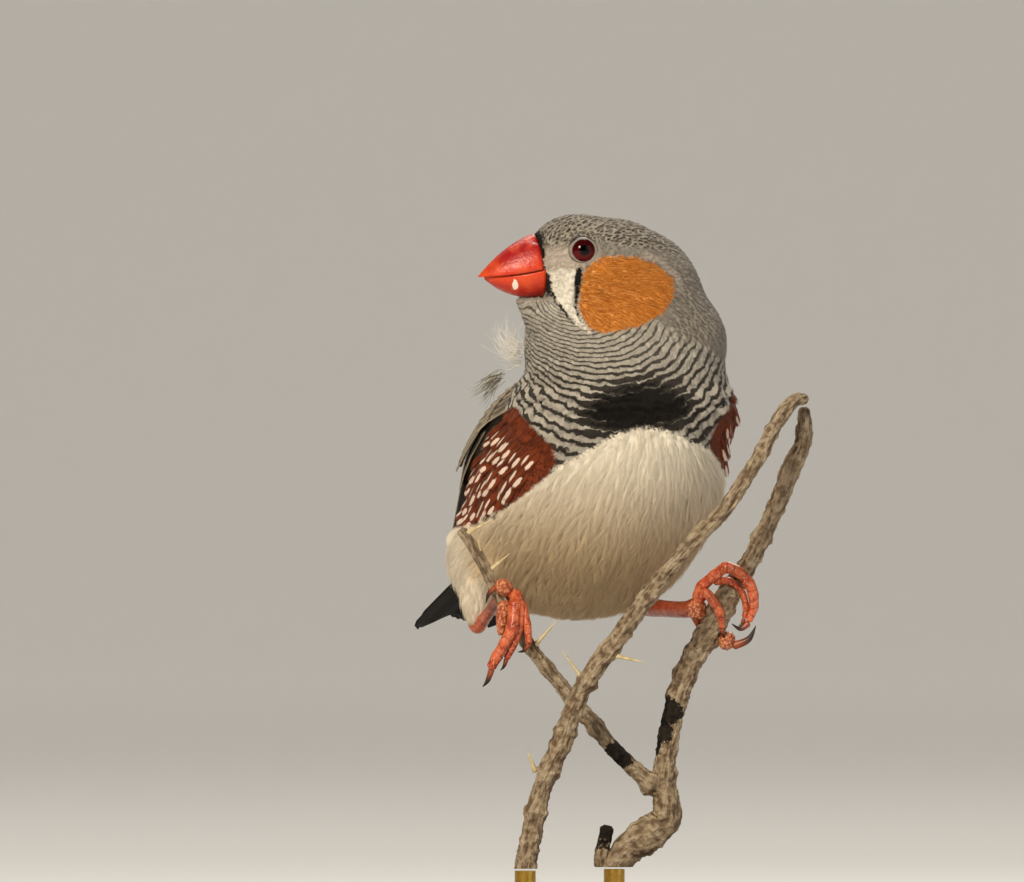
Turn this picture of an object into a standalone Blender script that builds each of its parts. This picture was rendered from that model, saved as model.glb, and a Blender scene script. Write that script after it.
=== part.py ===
"""Zebra finch, a life-size still model on a cut length of thorny twig, held by a plain stand.

Sizes are millimetres here and metres in the mesh. +X is to the right of the front view, +Y away
from it and +Z up. The origin is the middle of the stand's underside.
"""

import math
import random

import bmesh
import bpy
from mathutils import Matrix, Vector

MM = 0.001
GAP = 0.3

# Body: the middle of the trunk, how far it is turned and raised, and its half sizes
BODY_CENTRE = Vector((-0.6, 0.0, 74.2))
BODY_TURN = 22.0
BODY_RAISE = 25.0
BODY_ACROSS = 18.3
BODY_ALONG = 27.0
BODY_DEEP = 17.5

# Head: its middle, its turn from straight left of the front view, its droop, and half sizes
HEAD_CENTRE = Vector((0.5, -12.0, 104.8))
HEAD_TURN = 11.0
HEAD_DROOP = 6.0
HEAD_LONG = 11.3
HEAD_WIDE = 8.8
HEAD_HIGH = 9.0

EYE_RADIUS = 2.0
EYE_PLACE = (4.0, 6.1, 3.7)
LID_RADIUS = 2.1
LID_THICK = 0.36
LID_OUT = 7.25
LID_SIDES = 14
LID_SECTION = 5

BILL_ROOT = 7.6
BILL_TIP = 18.2
BILL_TOP = 6.9
BILL_TIP_HEIGHT = 1.5
BILL_BOTTOM = -2.4
BILL_HALF_WIDTH = 3.8
MOUTH_HEIGHT = 1.75
LOWER_TIP = 17.3

WRIST = 12.0
WING_LENGTH = 54.0
WING_LOW = 5.0
VANE_THICK = 0.5

TAIL_ROOT = Vector((-11.5, 19.0, 67.6))
TAIL_TIP = Vector((-21.8, 50.6, 54.6))
TAIL_HALF_FAN = 7.0
RECTRIX_WIDTH = 5.2

BASE_RADIUS = 45.0
BASE_THICK = 8.0
ROD_RADIUS = 1.5
PERCH_CUT = 20.3

COLOURS = {
    "grey": (0.20, 0.185, 0.165, 0.8),
    "cream": (0.62, 0.55, 0.45, 0.85),
    "bill": (0.62, 0.055, 0.025, 0.3),
    "eye": (0.09, 0.008, 0.006, 0.08),
    "wing": (0.13, 0.105, 0.085, 0.75),
    "tail": (0.018, 0.017, 0.018, 0.6),
    "leg": (0.62, 0.14, 0.06, 0.5),
    "claw": (0.06, 0.035, 0.025, 0.35),
    "bark": (0.24, 0.185, 0.135, 0.9),
    "wood": (0.10, 0.055, 0.03, 0.45),
    "brass": (0.55, 0.40, 0.18, 0.3),
}


def unit(vector):
    return Vector(vector).normalized()


def direction(turn, rise):
    """Level direction turned from -Y toward +X, then raised."""
    return Vector((math.sin(turn) * math.cos(rise), -math.cos(turn) * math.cos(rise), math.sin(rise)))


BODY_FORWARD = direction(math.radians(BODY_TURN), math.radians(BODY_RAISE))
BODY_LEFT = unit((math.cos(math.radians(BODY_TURN)), math.sin(math.radians(BODY_TURN)), 0.0))
BODY_UP = BODY_FORWARD.cross(BODY_LEFT)
HEAD_FORWARD = direction(math.radians(HEAD_TURN - 90.0), math.radians(-HEAD_DROOP))
HEAD_LEFT = unit((-HEAD_FORWARD.y, HEAD_FORWARD.x, 0.0))
HEAD_UP = HEAD_FORWARD.cross(HEAD_LEFT)


def body_point(forward, left, up):
    return BODY_CENTRE + BODY_FORWARD * forward + BODY_LEFT * left + BODY_UP * up


def head_point(forward, left, up):
    return HEAD_CENTRE + HEAD_FORWARD * forward + HEAD_LEFT * left + HEAD_UP * up


def placed(centre, forward, left, up, halves):
    """Matrix that turns a unit sphere into an ellipsoid lying along these axes, in metres."""
    turned = Matrix((forward, left, up)).transposed().to_4x4()
    sized = Matrix.Diagonal((halves[0], halves[1], halves[2], 1.0))
    return Matrix.Scale(MM, 4) @ Matrix.Translation(centre) @ turned @ sized


def in_body(forward, left, up, halves):
    return placed(body_point(forward, left, up), BODY_FORWARD, BODY_LEFT, BODY_UP, halves)


def in_head(forward, left, up, halves):
    return placed(head_point(forward, left, up), HEAD_FORWARD, HEAD_LEFT, HEAD_UP, halves)


def upright(centre, halves):
    return placed(Vector(centre), Vector((1, 0, 0)), Vector((0, 1, 0)), Vector((0, 0, 1)), halves)


def collection(name):
    made = bpy.data.collections.new(name)
    bpy.context.scene.collection.children.link(made)
    return made


def finish(name):
    """The material of this name, made once from the list of colours."""
    found = bpy.data.materials.get(name)
    if found:
        return found
    red, green, blue, rough = COLOURS[name]
    made = bpy.data.materials.new(name)
    made.use_nodes = True
    shader = made.node_tree.nodes["Principled BSDF"]
    shader.inputs["Base Color"].default_value = (red, green, blue, 1.0)
    shader.inputs["Roughness"].default_value = rough
    shader.inputs["Metallic"].default_value = 1.0 if name == "brass" else 0.0
    made.diffuse_color = (red, green, blue, 1.0)
    return made


def mesh_object(name, bm, home):
    bmesh.ops.recalc_face_normals(bm, faces=bm.faces)
    mesh = bpy.data.meshes.new(name)
    bm.to_mesh(mesh)
    bm.free()
    made = bpy.data.objects.new(name, mesh)
    home.objects.link(made)
    return made


def apply_modifiers(obj):
    """Gives the object the mesh that its modifiers make, and drops them."""
    graph = bpy.context.evaluated_depsgraph_get()
    mesh = bpy.data.meshes.new_from_object(obj.evaluated_get(graph), depsgraph=graph)
    obj.modifiers.clear()
    old = obj.data
    obj.data = mesh
    bpy.data.meshes.remove(old)
    return obj


def remove(obj):
    mesh = obj.data
    bpy.data.objects.remove(obj)
    bpy.data.meshes.remove(mesh)


def keep_largest(obj):
    """Leaves only the closed surface that holds the most."""
    bm = bmesh.new()
    bm.from_mesh(obj.data)
    bmesh.ops.triangulate(bm, faces=bm.faces)
    waiting = set(bm.faces)
    shells = []
    while waiting:
        shell = {waiting.pop()}
        edge_of_search = list(shell)
        while edge_of_search:
            face = edge_of_search.pop()
            for edge in face.edges:
                for other in edge.link_faces:
                    if other in waiting:
                        waiting.remove(other)
                        shell.add(other)
                        edge_of_search.append(other)
        holds = 0.0
        for face in shell:
            a, b, c = (vertex.co for vertex in face.verts)
            holds += a.dot(b.cross(c)) / 6.0
        shells.append((abs(holds), shell))
    shells.sort(key=lambda entry: entry[0])
    loose = [face for _, shell in shells[:-1] for face in shell]
    bmesh.ops.delete(bm, geom=loose, context="FACES")
    bm.to_mesh(obj.data)
    bm.free()
    return obj


def unite(pieces):
    """One closed body from pieces that pass through one another."""
    base = pieces[0]
    group = collection(base.name + "_pieces")
    for piece in pieces[1:]:
        for home in list(piece.users_collection):
            home.objects.unlink(piece)
        group.objects.link(piece)
    union = base.modifiers.new("Union", "BOOLEAN")
    union.operation = "UNION"
    union.operand_type = "COLLECTION"
    union.collection = group
    union.solver = "EXACT"
    apply_modifiers(base)
    for piece in pieces[1:]:
        remove(piece)
    bpy.data.collections.remove(group)
    return keep_largest(base)


def carve(obj, cutter):
    """Cuts the cutter's space out of the object and keeps the largest piece."""
    cutter.hide_render = True
    cutter.display_type = "WIRE"
    cut = obj.modifiers.new("Cut", "BOOLEAN")
    cut.operation = "DIFFERENCE"
    cut.object = cutter
    cut.solver = "EXACT"
    apply_modifiers(obj)
    return keep_largest(obj)


def grown(obj, amount, home):
    """A copy whose surface stands this far out."""
    bm = bmesh.new()
    bm.from_mesh(obj.data)
    bm.normal_update()
    for vertex in bm.verts:
        vertex.co += vertex.normal * amount * MM
    return mesh_object(obj.name + "_grown", bm, home)


def ball(name, matrix, home, detail=2):
    bm = bmesh.new()
    bmesh.ops.create_icosphere(bm, subdivisions=detail, radius=1.0, matrix=matrix)
    return mesh_object(name, bm, home)


def smooth_route(points, steps):
    """Points along a smooth curve through the given ones, each (x, y, z, radius)."""
    ends = [points[0]] + list(points) + [points[-1]]
    found = []
    for i in range(1, len(ends) - 2):
        before, start, stop, after = (Vector(ends[i + k]) for k in (-1, 0, 1, 2))
        for k in range(steps):
            t = k / steps
            found.append(
                0.5
                * (
                    2 * start
                    + (stop - before) * t
                    + (2 * before - 5 * start + 4 * stop - after) * t * t
                    + (3 * start - before - 3 * stop + after) * t**3
                )
            )
    found.append(Vector(points[-1]))
    return found


def tube(name, points, home, resolution=2):
    """A round bar through points (x, y, z, radius), made from a bevelled curve."""
    curve = bpy.data.curves.new(name, "CURVE")
    curve.dimensions = "3D"
    curve.bevel_depth = MM
    curve.bevel_resolution = resolution
    curve.use_fill_caps = True
    spline = curve.splines.new("POLY")
    spline.points.add(len(points) - 1)
    for spot, point in zip(spline.points, points):
        spot.co = (point[0] * MM, point[1] * MM, point[2] * MM, 1.0)
        spot.radius = point[3]
    guide = bpy.data.objects.new(name, curve)
    home.objects.link(guide)
    graph = bpy.context.evaluated_depsgraph_get()
    mesh = bpy.data.meshes.new_from_object(guide.evaluated_get(graph), depsgraph=graph)
    bpy.data.objects.remove(guide)
    bpy.data.curves.remove(curve)
    bm = bmesh.new()
    bm.from_mesh(mesh)
    bpy.data.meshes.remove(mesh)
    bmesh.ops.remove_doubles(bm, verts=bm.verts, dist=1e-6)
    return mesh_object(name, bm, home)


def dress(obj, name, finish_name, home):
    """Names a finished part, gives it its material and moves it to the collection of parts."""
    obj.name = name
    obj.data.name = name
    obj.data.materials.clear()
    obj.data.materials.append(finish(finish_name))
    for old in list(obj.users_collection):
        old.objects.unlink(obj)
    home.objects.link(obj)
    obj.data.shade_smooth()
    obj.data.set_sharp_from_angle(angle=math.radians(40.0))
    return obj


# Soft body, neck and head

FLESH_VOXEL = 0.9
FLESH_SMOOTH = 20
FLESH_TRIANGLES = 2050


def flesh_forms():
    """The rounded forms that run together into one bird, each as the matrix of a unit sphere."""
    along, across, deep = BODY_ALONG, BODY_ACROSS, BODY_DEEP
    return (
        in_body(0.0, 0.0, 0.0, (along, across, deep)),
        upright((3.5, -6.5, 85.3), (17.3, 15.5, 10.5)),
        upright((3.0, -8.3, 94.2), (14.4, 12.8, 11.9)),
        upright((4.2, -9.2, 101.0), (10.8, 10.3, 10.8)),
        in_head(0.0, 0.0, 0.0, (HEAD_LONG, HEAD_WIDE, HEAD_HIGH)),
        in_head(4.3, 0.0, 3.3, (6.5, 6.6, 5.4)),
        in_head(6.3, 0.0, -4.4, (6.2, 5.6, 4.8)),
        in_body(-18.0, -1.0, 0.5, (13.5, 11.0, 9.0)),
        in_body(-13.5, -9.6, -4.2, (11.0, 9.4, 9.4)),
        in_body(-13.0, 7.5, -2.0, (9.0, 7.5, 7.5)),
        in_body(-23.0, -2.0, 0.2, (10.0, 6.5, 5.4)),
    )


def build_flesh(home):
    bm = bmesh.new()
    for matrix in flesh_forms():
        bmesh.ops.create_icosphere(bm, subdivisions=4, radius=1.0, matrix=matrix)
    flesh = mesh_object("flesh", bm, home)
    remesh = flesh.modifiers.new("Remesh", "REMESH")
    remesh.mode = "VOXEL"
    remesh.voxel_size = FLESH_VOXEL * MM
    smooth = flesh.modifiers.new("Smooth", "SMOOTH")
    smooth.factor = 0.5
    smooth.iterations = FLESH_SMOOTH
    apply_modifiers(flesh)
    thin = flesh.modifiers.new("Thin", "DECIMATE")
    thin.ratio = FLESH_TRIANGLES / (2.0 * len(flesh.data.polygons))
    apply_modifiers(flesh)
    return keep_largest(flesh)


HEAD_CUT = (Vector((3.0, -10.0, 98.2)), unit((-0.32, -0.12, 0.94)))
NECK_CUT = (Vector((2.8, -6.0, 90.6)), unit((-0.04, -0.30, 0.95)))


def half_space(name, point, normal, home):
    """A large block whose flat face lies at the point, on the side the normal leads to."""
    size = 120.0
    bm = bmesh.new()
    turn = normal.to_track_quat("Z", "Y").to_matrix().to_4x4()
    middle = Matrix.Translation(point + normal * size / 2.0)
    bmesh.ops.create_cube(bm, size=size, matrix=Matrix.Scale(MM, 4) @ middle @ turn)
    return mesh_object(name, bm, home)


def part_by(obj, name, point, normal, home):
    """The half of the object behind the plane, with half the gap taken off."""
    made = bpy.data.objects.new(name, obj.data.copy())
    home.objects.link(made)
    block = half_space("block", point - normal * GAP / 2.0, normal, home)
    carve(made, block)
    remove(block)
    return made


def mandible(name, rim, root, tip, half_width, edge, spare, home):
    """A horn loft along the head: rim(t) is its outer height, edge(t) its height at the mouth."""
    rings, arc, flat = 9, 9, 3
    bm = bmesh.new()
    loops = []
    for i in range(rings):
        t = 1.0 - (1.0 - i / (rings - 1)) ** 1.35
        forward = root + (tip - root) * t
        wide = half_width * (1.0 - t**2.3) ** 0.85 + 0.16 + spare
        at_mouth = edge(t)
        tall = rim(t) - at_mouth
        tall += math.copysign(2.0 * spare, tall)
        at_mouth -= math.copysign(spare, tall)
        loop = []
        for k in range(arc):
            angle = math.pi * k / (arc - 1)
            loop.append((wide * math.cos(angle), at_mouth + tall * math.sin(angle) ** 0.9))
        for k in range(1, flat + 1):
            loop.append((-wide + 2.0 * wide * k / (flat + 1), at_mouth))
        loops.append([bm.verts.new(head_point(forward, left, up) * MM) for left, up in loop])
    count = arc + flat
    for first, second in zip(loops, loops[1:]):
        for k in range(count):
            bm.faces.new((first[k], first[(k + 1) % count], second[(k + 1) % count], second[k]))
    bm.faces.new(loops[0])
    bm.faces.new(loops[-1])
    bmesh.ops.triangulate(bm, faces=bm.faces)
    return mesh_object(name, bm, home)


def culmen(t):
    return BILL_TIP_HEIGHT + (BILL_TOP - BILL_TIP_HEIGHT) * (1.0 - t**1.9)


def gonys(t):
    return BILL_TIP_HEIGHT - 0.5 + (BILL_BOTTOM - 1.0) * (1.0 - t**3.0)


def mouth(t):
    return MOUTH_HEIGHT - 0.35 * math.sin(math.pi * t) - 0.35 * t


def under_mouth(t):
    return mouth(t) - GAP


def build_bill(parts, home):
    upper = mandible("bill_upper", culmen, BILL_ROOT, BILL_TIP, BILL_HALF_WIDTH, mouth, 0.0, home)
    for side in (-1, 1):
        nostril = ball("nostril", in_head(9.9, side * 1.75, 5.75, (0.75, 0.5, 0.5)), home, 1)
        carve(upper, nostril)
        remove(nostril)
    dress(upper, "bill_upper", "bill", parts)
    lower_width = BILL_HALF_WIDTH * 0.94
    lower = mandible("bill_lower", gonys, BILL_ROOT, LOWER_TIP, lower_width, under_mouth, 0.0, home)
    dress(lower, "bill_lower", "bill", parts)


def build_bill_seat(home):
    """The space of both mandibles with the gap round it, for the head to be cut by."""
    short = BILL_ROOT - GAP
    upper = mandible("seat", culmen, short, BILL_TIP, BILL_HALF_WIDTH, mouth, GAP, home)
    lower = mandible("seat_low", gonys, short, LOWER_TIP, BILL_HALF_WIDTH, under_mouth, GAP, home)
    return unite([upper, lower])


def build_head(head, home):
    """Sockets, lids and the seat of the bill."""
    for side in (-1, 1):
        forward, left, up = EYE_PLACE
        ring = []
        for k in range(LID_SIDES):
            angle = 2.0 * math.pi * k / LID_SIDES
            spot = head_point(
                forward + LID_RADIUS * math.cos(angle),
                side * LID_OUT,
                up + 0.9 * LID_RADIUS * math.sin(angle),
            )
            ring.append((*spot, LID_THICK))
        lid = lid_ring("lid", ring, side, home)
        socket = ball("socket", in_head(forward, side * left, up, (EYE_RADIUS + GAP,) * 3), home, 3)
        unite_two(head, lid)
        carve(head, socket)
        remove(socket)
    seat = build_bill_seat(home)
    carve(head, seat)
    remove(seat)
    return head


def lid_ring(name, points, side, home):
    """A closed ring through the points, thick outward and a little thicker away from the head."""
    centre = sum((Vector(p[:3]) for p in points), Vector()) / len(points)
    out = HEAD_LEFT * side
    bm = bmesh.new()
    loops = []
    for x, y, z, thick in points:
        spot = Vector((x, y, z))
        away = (spot - centre).normalized()
        loop = []
        for k in range(LID_SECTION):
            angle = 2.0 * math.pi * k / LID_SECTION
            shift = away * math.cos(angle) + out * math.sin(angle) * 1.2
            loop.append(bm.verts.new((spot + shift * thick) * MM))
        loops.append(loop)
    count = len(loops)
    for i in range(count):
        first, second = loops[i], loops[(i + 1) % count]
        for k in range(LID_SECTION):
            after = (k + 1) % LID_SECTION
            bm.faces.new((first[k], first[after], second[after], second[k]))
    return mesh_object(name, bm, home)


def unite_two(base, other):
    union = base.modifiers.new("Union", "BOOLEAN")
    union.operation = "UNION"
    union.object = other
    union.solver = "EXACT"
    apply_modifiers(base)
    remove(other)
    return keep_largest(base)


# Feathers

def vane(name, place, root, tip, width, lifts, tilt, home, bow=0.0, rows=4):
    """A flat feather on a curved bed.

    place(along, across, lift) is a point of the bed. root and tip are (along, across), lifts the
    height of the two ends, tilt how far one edge stands above the other, bow the bend of the shaft.
    """
    bm = bmesh.new()
    bmesh.ops.create_grid(bm, x_segments=2, y_segments=rows, size=1.0)
    bmesh.ops.triangulate(bm, faces=bm.faces)
    shaft = Vector(tip) - Vector(root)
    aside = Vector((-shaft.y, shaft.x)).normalized()
    under = {}
    for vertex in bm.verts:
        x, v = vertex.co.x, (vertex.co.y + 1.0) / 2.0
        v = v**0.85
        half = 0.5 * width * (0.5 + 0.5 * min(1.0, v / 0.3))
        half *= math.sqrt(max(0.08, 1.0 - max(0.0, (v - 0.74) / 0.26) ** 2))
        spot = Vector(root) + shaft * v + aside * (x * half + bow * math.sin(math.pi * v))
        lift = lifts[0] + (lifts[1] - lifts[0]) * v - tilt * x - 0.12 * abs(x)
        deep = VANE_THICK * (1.0 if v < 0.9 else 0.8)
        vertex.co = place(spot.x, spot.y, lift) * MM
        under[vertex] = place(spot.x, spot.y, lift - deep) * MM
    faces = list(bm.faces)
    top = list(bm.verts)
    below = {vertex: bm.verts.new(under[vertex]) for vertex in top}
    rim = [edge for edge in bm.edges if len(edge.link_faces) == 1]
    for face in faces:
        bm.faces.new([below[vertex] for vertex in reversed(face.verts)])
    for edge in rim:
        a, b = edge.verts
        bm.faces.new((a, b, below[b]))
        bm.faces.new((a, below[b], below[a]))
    return mesh_object(name, bm, home)


def body_share(forward):
    """How much of its full girth the body's side has here; behind the trunk the wing runs on straight."""
    turn_off = -10.0
    if forward > turn_off:
        return math.sqrt(1.0 - (forward / BODY_ALONG) ** 2)
    start = math.sqrt(1.0 - (turn_off / BODY_ALONG) ** 2)
    return start + (forward - turn_off) * (-turn_off / BODY_ALONG**2) / start


def wing_bed(side):
    """Points of the folded wing's bed: mm back from the wrist, mm up from its lower edge, mm out."""

    def place(along, across, lift):
        forward = WRIST - along
        share = body_share(forward)
        radius = 18.0 * share
        low_height = WING_LOW + max(0.0, -forward - 30.0) / 12.0
        turn = math.asin(low_height / radius) + across / radius
        left = side * (BODY_ACROSS * share + lift) * math.cos(turn)
        up = (BODY_DEEP * share + lift) * math.sin(turn)
        return body_point(forward, left, up)

    return place


def wing_core(place, home):
    """The smooth arm of the wing, under its feathers."""
    bm = bmesh.new()
    bmesh.ops.create_grid(bm, x_segments=4, y_segments=6, size=1.0)
    bmesh.ops.triangulate(bm, faces=bm.faces)
    places = {}
    for vertex in bm.verts:
        x, v = vertex.co.x, (vertex.co.y + 1.0) / 2.0
        round_end = math.sqrt(max(0.03, 1.0 - (2.0 * v - 1.0) ** 4))
        along = -2.0 + 32.0 * v
        across = 8.2 - 1.6 * v + x * (8.0 - 3.6 * v) * round_end
        lift = 1.35 * (1.0 - abs(x) ** 3) * (1.0 - 0.45 * v) * round_end
        places[vertex] = (place(along, across, lift) * MM, place(along, across, -1.4) * MM)
    top = list(bm.verts)
    below = {vertex: bm.verts.new(places[vertex][1]) for vertex in top}
    rim = [edge for edge in bm.edges if len(edge.link_faces) == 1]
    for face in list(bm.faces):
        bm.faces.new([below[vertex] for vertex in reversed(face.verts)])
    for edge in rim:
        a, b = edge.verts
        bm.faces.new((a, b, below[b]))
        bm.faces.new((a, below[b], below[a]))
    for vertex in top:
        vertex.co = places[vertex][0]
    return mesh_object("wing_core", bm, home)


PRIMARIES = 8
SECONDARIES = 5
GREATER = 7
MEDIAN = 6


def wing_feathers(place, home):
    made = []
    for i in range(PRIMARIES):
        back = WING_LENGTH - 1.0 * i - 0.28 * i * i
        root = (11.0 + 0.7 * i, 2.6 + 0.55 * i)
        tip = (back, 1.6 + 0.62 * i)
        made.append(vane("primary", place, root, tip, 4.6, (0.5, 0.75), 0.32, home, bow=-0.5))
    for i in range(SECONDARIES):
        root = (14.0 - 0.6 * i, 6.2 + 1.25 * i)
        tip = (34.5 - 0.8 * i, 5.4 + 1.15 * i)
        made.append(vane("secondary", place, root, tip, 5.0, (0.85, 1.15), 0.32, home, bow=-0.3))
    for i in range(3):
        root = (9.0 - 1.5 * i, 11.4 + 1.5 * i)
        tip = (39.0 - 5.5 * i, 8.6 + 1.9 * i)
        made.append(vane("tertial", place, root, tip, 6.2, (1.1, 1.5), 0.34, home, bow=-0.4))
    for i in range(GREATER):
        root = (8.5 - 0.3 * i, 2.4 + 1.8 * i)
        tip = (20.5 - 0.4 * i, 2.2 + 1.75 * i)
        made.append(vane("greater", place, root, tip, 4.3, (1.35, 1.75), 0.3, home, rows=3))
    for i in range(MEDIAN):
        root = (3.0 - 0.2 * i, 3.0 + 2.0 * i)
        tip = (12.5 - 0.35 * i, 2.7 + 1.95 * i)
        made.append(vane("median", place, root, tip, 4.4, (1.3, 2.1), 0.3, home, rows=3))
    return made


def build_wing(side, trunk, parts, home):
    place = wing_bed(side)
    pieces = [wing_core(place, home)] + wing_feathers(place, home)
    wing = unite(pieces)
    carve(wing, trunk)
    dress(wing, "wing_left" if side > 0 else "wing_right", "wing", parts)


def tail_bed():
    """Points of the tail: mm back from its root, mm to the bird's left, mm up."""
    back = (TAIL_TIP - TAIL_ROOT).normalized()
    left = (BODY_LEFT - back * BODY_LEFT.dot(back)).normalized()
    up = left.cross(back)

    def place(along, across, lift):
        return TAIL_ROOT + back * along + left * across + up * (lift - 0.012 * across * across)

    return place


def build_tail(trunk, parts, home):
    place = tail_bed()
    length = (TAIL_TIP - TAIL_ROOT).length
    core = bmesh.new()
    axes = (place(1, 0, 0) - place(0, 0, 0), place(0, 1, 0) - place(0, 0, 0))
    forward, left = unit(axes[0]), unit(axes[1])
    up = unit(forward.cross(left))
    bmesh.ops.create_icosphere(
        core, subdivisions=3, radius=1.0, matrix=placed(place(1.0, 0, 0.2), forward, left, up, (10.0, 4.8, 2.6))
    )
    pieces = [mesh_object("tail", core, home)]
    for side in (-1, 1):
        for i in range(6):
            share = (i + 0.45) / 6.0
            spread = math.radians(TAIL_HALF_FAN * share)
            reach = length - 1.6 * share
            root = (2.0, side * (0.5 + 1.9 * share))
            tip = (reach * math.cos(spread), side * (0.7 + 0.6 * share) + side * reach * math.sin(spread))
            lift = 0.9 - 0.34 * i
            tilt = 0.16 * side
            made = vane("rectrix", place, root, tip, RECTRIX_WIDTH, (lift, lift), tilt, home)
            pieces.append(made)
    for i in range(4):
        across = 2.3 * (i - 1.5)
        reach = 15.5 - 0.9 * abs(i - 1.5)
        made = vane("covert", place, (0.5, 0.7 * across), (reach, across), 4.0, (1.9, 1.5), 0.1, home, rows=3)
        pieces.append(made)
        made = vane("undertail", place, (0.5, 0.6 * across), (reach + 3.5, 0.9 * across), 4.2,
                    (-1.1, -1.3), 0.1, home, rows=3)
        pieces.append(made)
    tail = unite(pieces)
    carve(tail, trunk)
    dress(tail, "tail", "tail", parts)


# Legs and feet

FEET = {
    "right": {
        "thigh": ((-16.9, 0.5, 59.6), (3.7, 4.0, 4.2)),
        "ankle": (-18.3, -1.0, 54.6),
        "pad": (-13.9, -12.6, 60.4),
        "toes": (
            ((-14.8, -12.0, 59.2), (-16.4, -12.9, 58.9)),
            ((-12.4, -15.3, 59.0), (-12.5, -16.6, 55.5), (-13.3, -16.6, 51.2)),
            ((-13.0, -15.4, 59.4), (-13.3, -16.6, 56.2), (-14.1, -16.8, 52.8), (-15.6, -16.4, 49.6)),
            ((-11.8, -14.6, 59.4), (-11.0, -16.0, 56.4), (-10.6, -16.3, 52.8)),
        ),
        "claws": (
            ((-17.1, -13.8, 58.4), (-17.2, -15.0, 57.4)),
            ((-13.6, -16.3, 49.6), (-13.9, -15.5, 48.2)),
            ((-16.4, -16.0, 47.9), (-17.1, -15.4, 46.3)),
            ((-10.8, -15.9, 51.2), (-11.3, -15.1, 49.9)),
        ),
    },
    "left": {
        "thigh": ((4.6, 3.0, 59.5), (4.2, 4.4, 3.2)),
        "ankle": (6.4, -1.4, 57.5),
        "pad": (14.3, -11.4, 57.8),
        "toes": (
            ((14.0, -9.2, 55.6), (15.2, -8.4, 53.4), (17.6, -9.8, 52.6)),
            ((15.0, -13.4, 59.4), (16.4, -14.4, 58.2), (17.5, -14.4, 55.9)),
            ((15.2, -13.0, 60.2), (17.8, -14.4, 63.0), (20.6, -14.6, 62.0), (22.2, -13.4, 59.8), (22.3, -12.9, 57.4)),
            ((15.6, -13.4, 59.8), (18.0, -14.9, 61.0), (19.9, -14.9, 59.6), (20.8, -14.0, 57.6)),
        ),
        "claws": (
            ((19.3, -11.0, 52.0), (21.0, -12.0, 52.3), (22.1, -12.4, 53.8)),
            ((17.7, -14.2, 54.4), (17.3, -13.6, 53.3)),
            ((21.7, -13.0, 55.6), (20.5, -13.6, 54.7), (19.2, -14.0, 54.8)),
            ((20.6, -14.0, 55.9), (19.7, -14.4, 55.1)),
        ),
    },
}
TOE_RADIUS = 0.85
TARSUS_RADIUS = 1.05


def build_leg(side, trunk, wood, parts, home):
    plan = FEET[side]
    hip, halves = Vector(plan["thigh"][0]), plan["thigh"][1]
    thigh = ball("thigh", upright(hip, halves), home, 2)
    ankle = Vector(plan["ankle"])
    pad = Vector(plan["pad"])
    shank = tube("shank", [(*hip, halves[2] * 0.6), (*ankle.lerp(hip, 0.3), 1.75)], home)
    thigh = unite([thigh, shank])
    carve(thigh, trunk)
    feathered = grown(thigh, GAP, home)
    pieces = [tube("leg", smooth_route([
        (*ankle.lerp(hip, 0.6), 1.15),
        (*ankle, 1.45),
        (*ankle.lerp(pad, 0.25), TARSUS_RADIUS),
        (*ankle.lerp(pad, 0.75), TARSUS_RADIUS),
        (*pad, 1.3),
    ], 2), home)]
    pieces.append(ball("pad", upright(pad, (1.45, 1.45, 1.35)), home, 2))
    for number, toe in enumerate(plan["toes"]):
        points = [(*pad, TOE_RADIUS)]
        for i, spot_on_toe in enumerate(toe):
            share = (i + 1) / len(toe)
            points.append((*spot_on_toe, TOE_RADIUS * (1.0 - 0.22 * share)))
        pieces.append(tube("toe", smooth_route(points, 2), home, 1))
        build_claw(side, number, toe, plan["claws"][number], parts, home)
    leg = unite(pieces)
    carve(leg, feathered)
    remove(feathered)
    carve(leg, trunk)
    carve(leg, wood)
    dress(thigh, "thigh_" + side, "cream", parts)
    dress(leg, "leg_" + side, "leg", parts)


def build_claw(side, number, toe, points, parts, home):
    """A tapered hook that starts one gap beyond the end of its toe."""
    end = Vector(toe[-1])
    first = Vector(points[0])
    start = end + (first - end).normalized() * (GAP + 0.12)
    thick = 0.62 if number != 0 else 0.7
    route = [(*start, thick), (*first, thick * 0.8)]
    for i, point in enumerate(points[1:]):
        route.append((*point, thick * (0.5 if i < len(points) - 2 else 0.22)))
    claw = tube("claw", smooth_route(route, 2), home, 1)
    dress(claw, "claw_%s_%d" % (side, number + 1), "claw", parts)


# Perch, each point as x, y, z and radius

BRANCH = (
    (1.6, -7.0, 19.4, 1.9), (3.6, -7.2, 22.4, 2.1), (6.0, -7.5, 24.4, 2.3), (9.3, -8.0, 27.2, 2.1),
    (9.2, -8.4, 31.6, 1.7), (9.6, -9.2, 38.2, 1.45), (11.2, -10.0, 45.0, 1.5), (12.9, -10.6, 49.6, 1.6),
    (15.8, -11.4, 54.2, 1.75), (18.0, -11.8, 58.8, 1.7), (21.0, -12.2, 63.4, 1.55), (24.9, -13.0, 71.4, 1.4),
    (27.0, -14.0, 76.8, 1.6), (28.6, -14.6, 80.4, 1.35), (29.0, -15.0, 83.6, 1.2), (28.9, -15.2, 85.4, 1.0),
)
SIDE_TWIG = (
    (9.0, -8.4, 31.0, 1.2), (7.0, -8.8, 32.4, 1.25), (2.0, -10.4, 37.0, 1.05), (-2.1, -11.6, 42.0, 1.15),
    (-6.0, -12.6, 46.8, 0.95), (-9.9, -13.4, 51.6, 1.0), (-13.2, -14.0, 57.0, 0.95), (-15.4, -14.4, 61.0, 0.9),
    (-17.6, -14.8, 65.2, 0.95), (-19.7, -15.2, 68.2, 0.8),
)
STUMP = ((15.9, -11.4, 54.6, 1.5), (17.2, -12.4, 57.2, 1.65), (18.4, -13.6, 59.8, 1.6))
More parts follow.
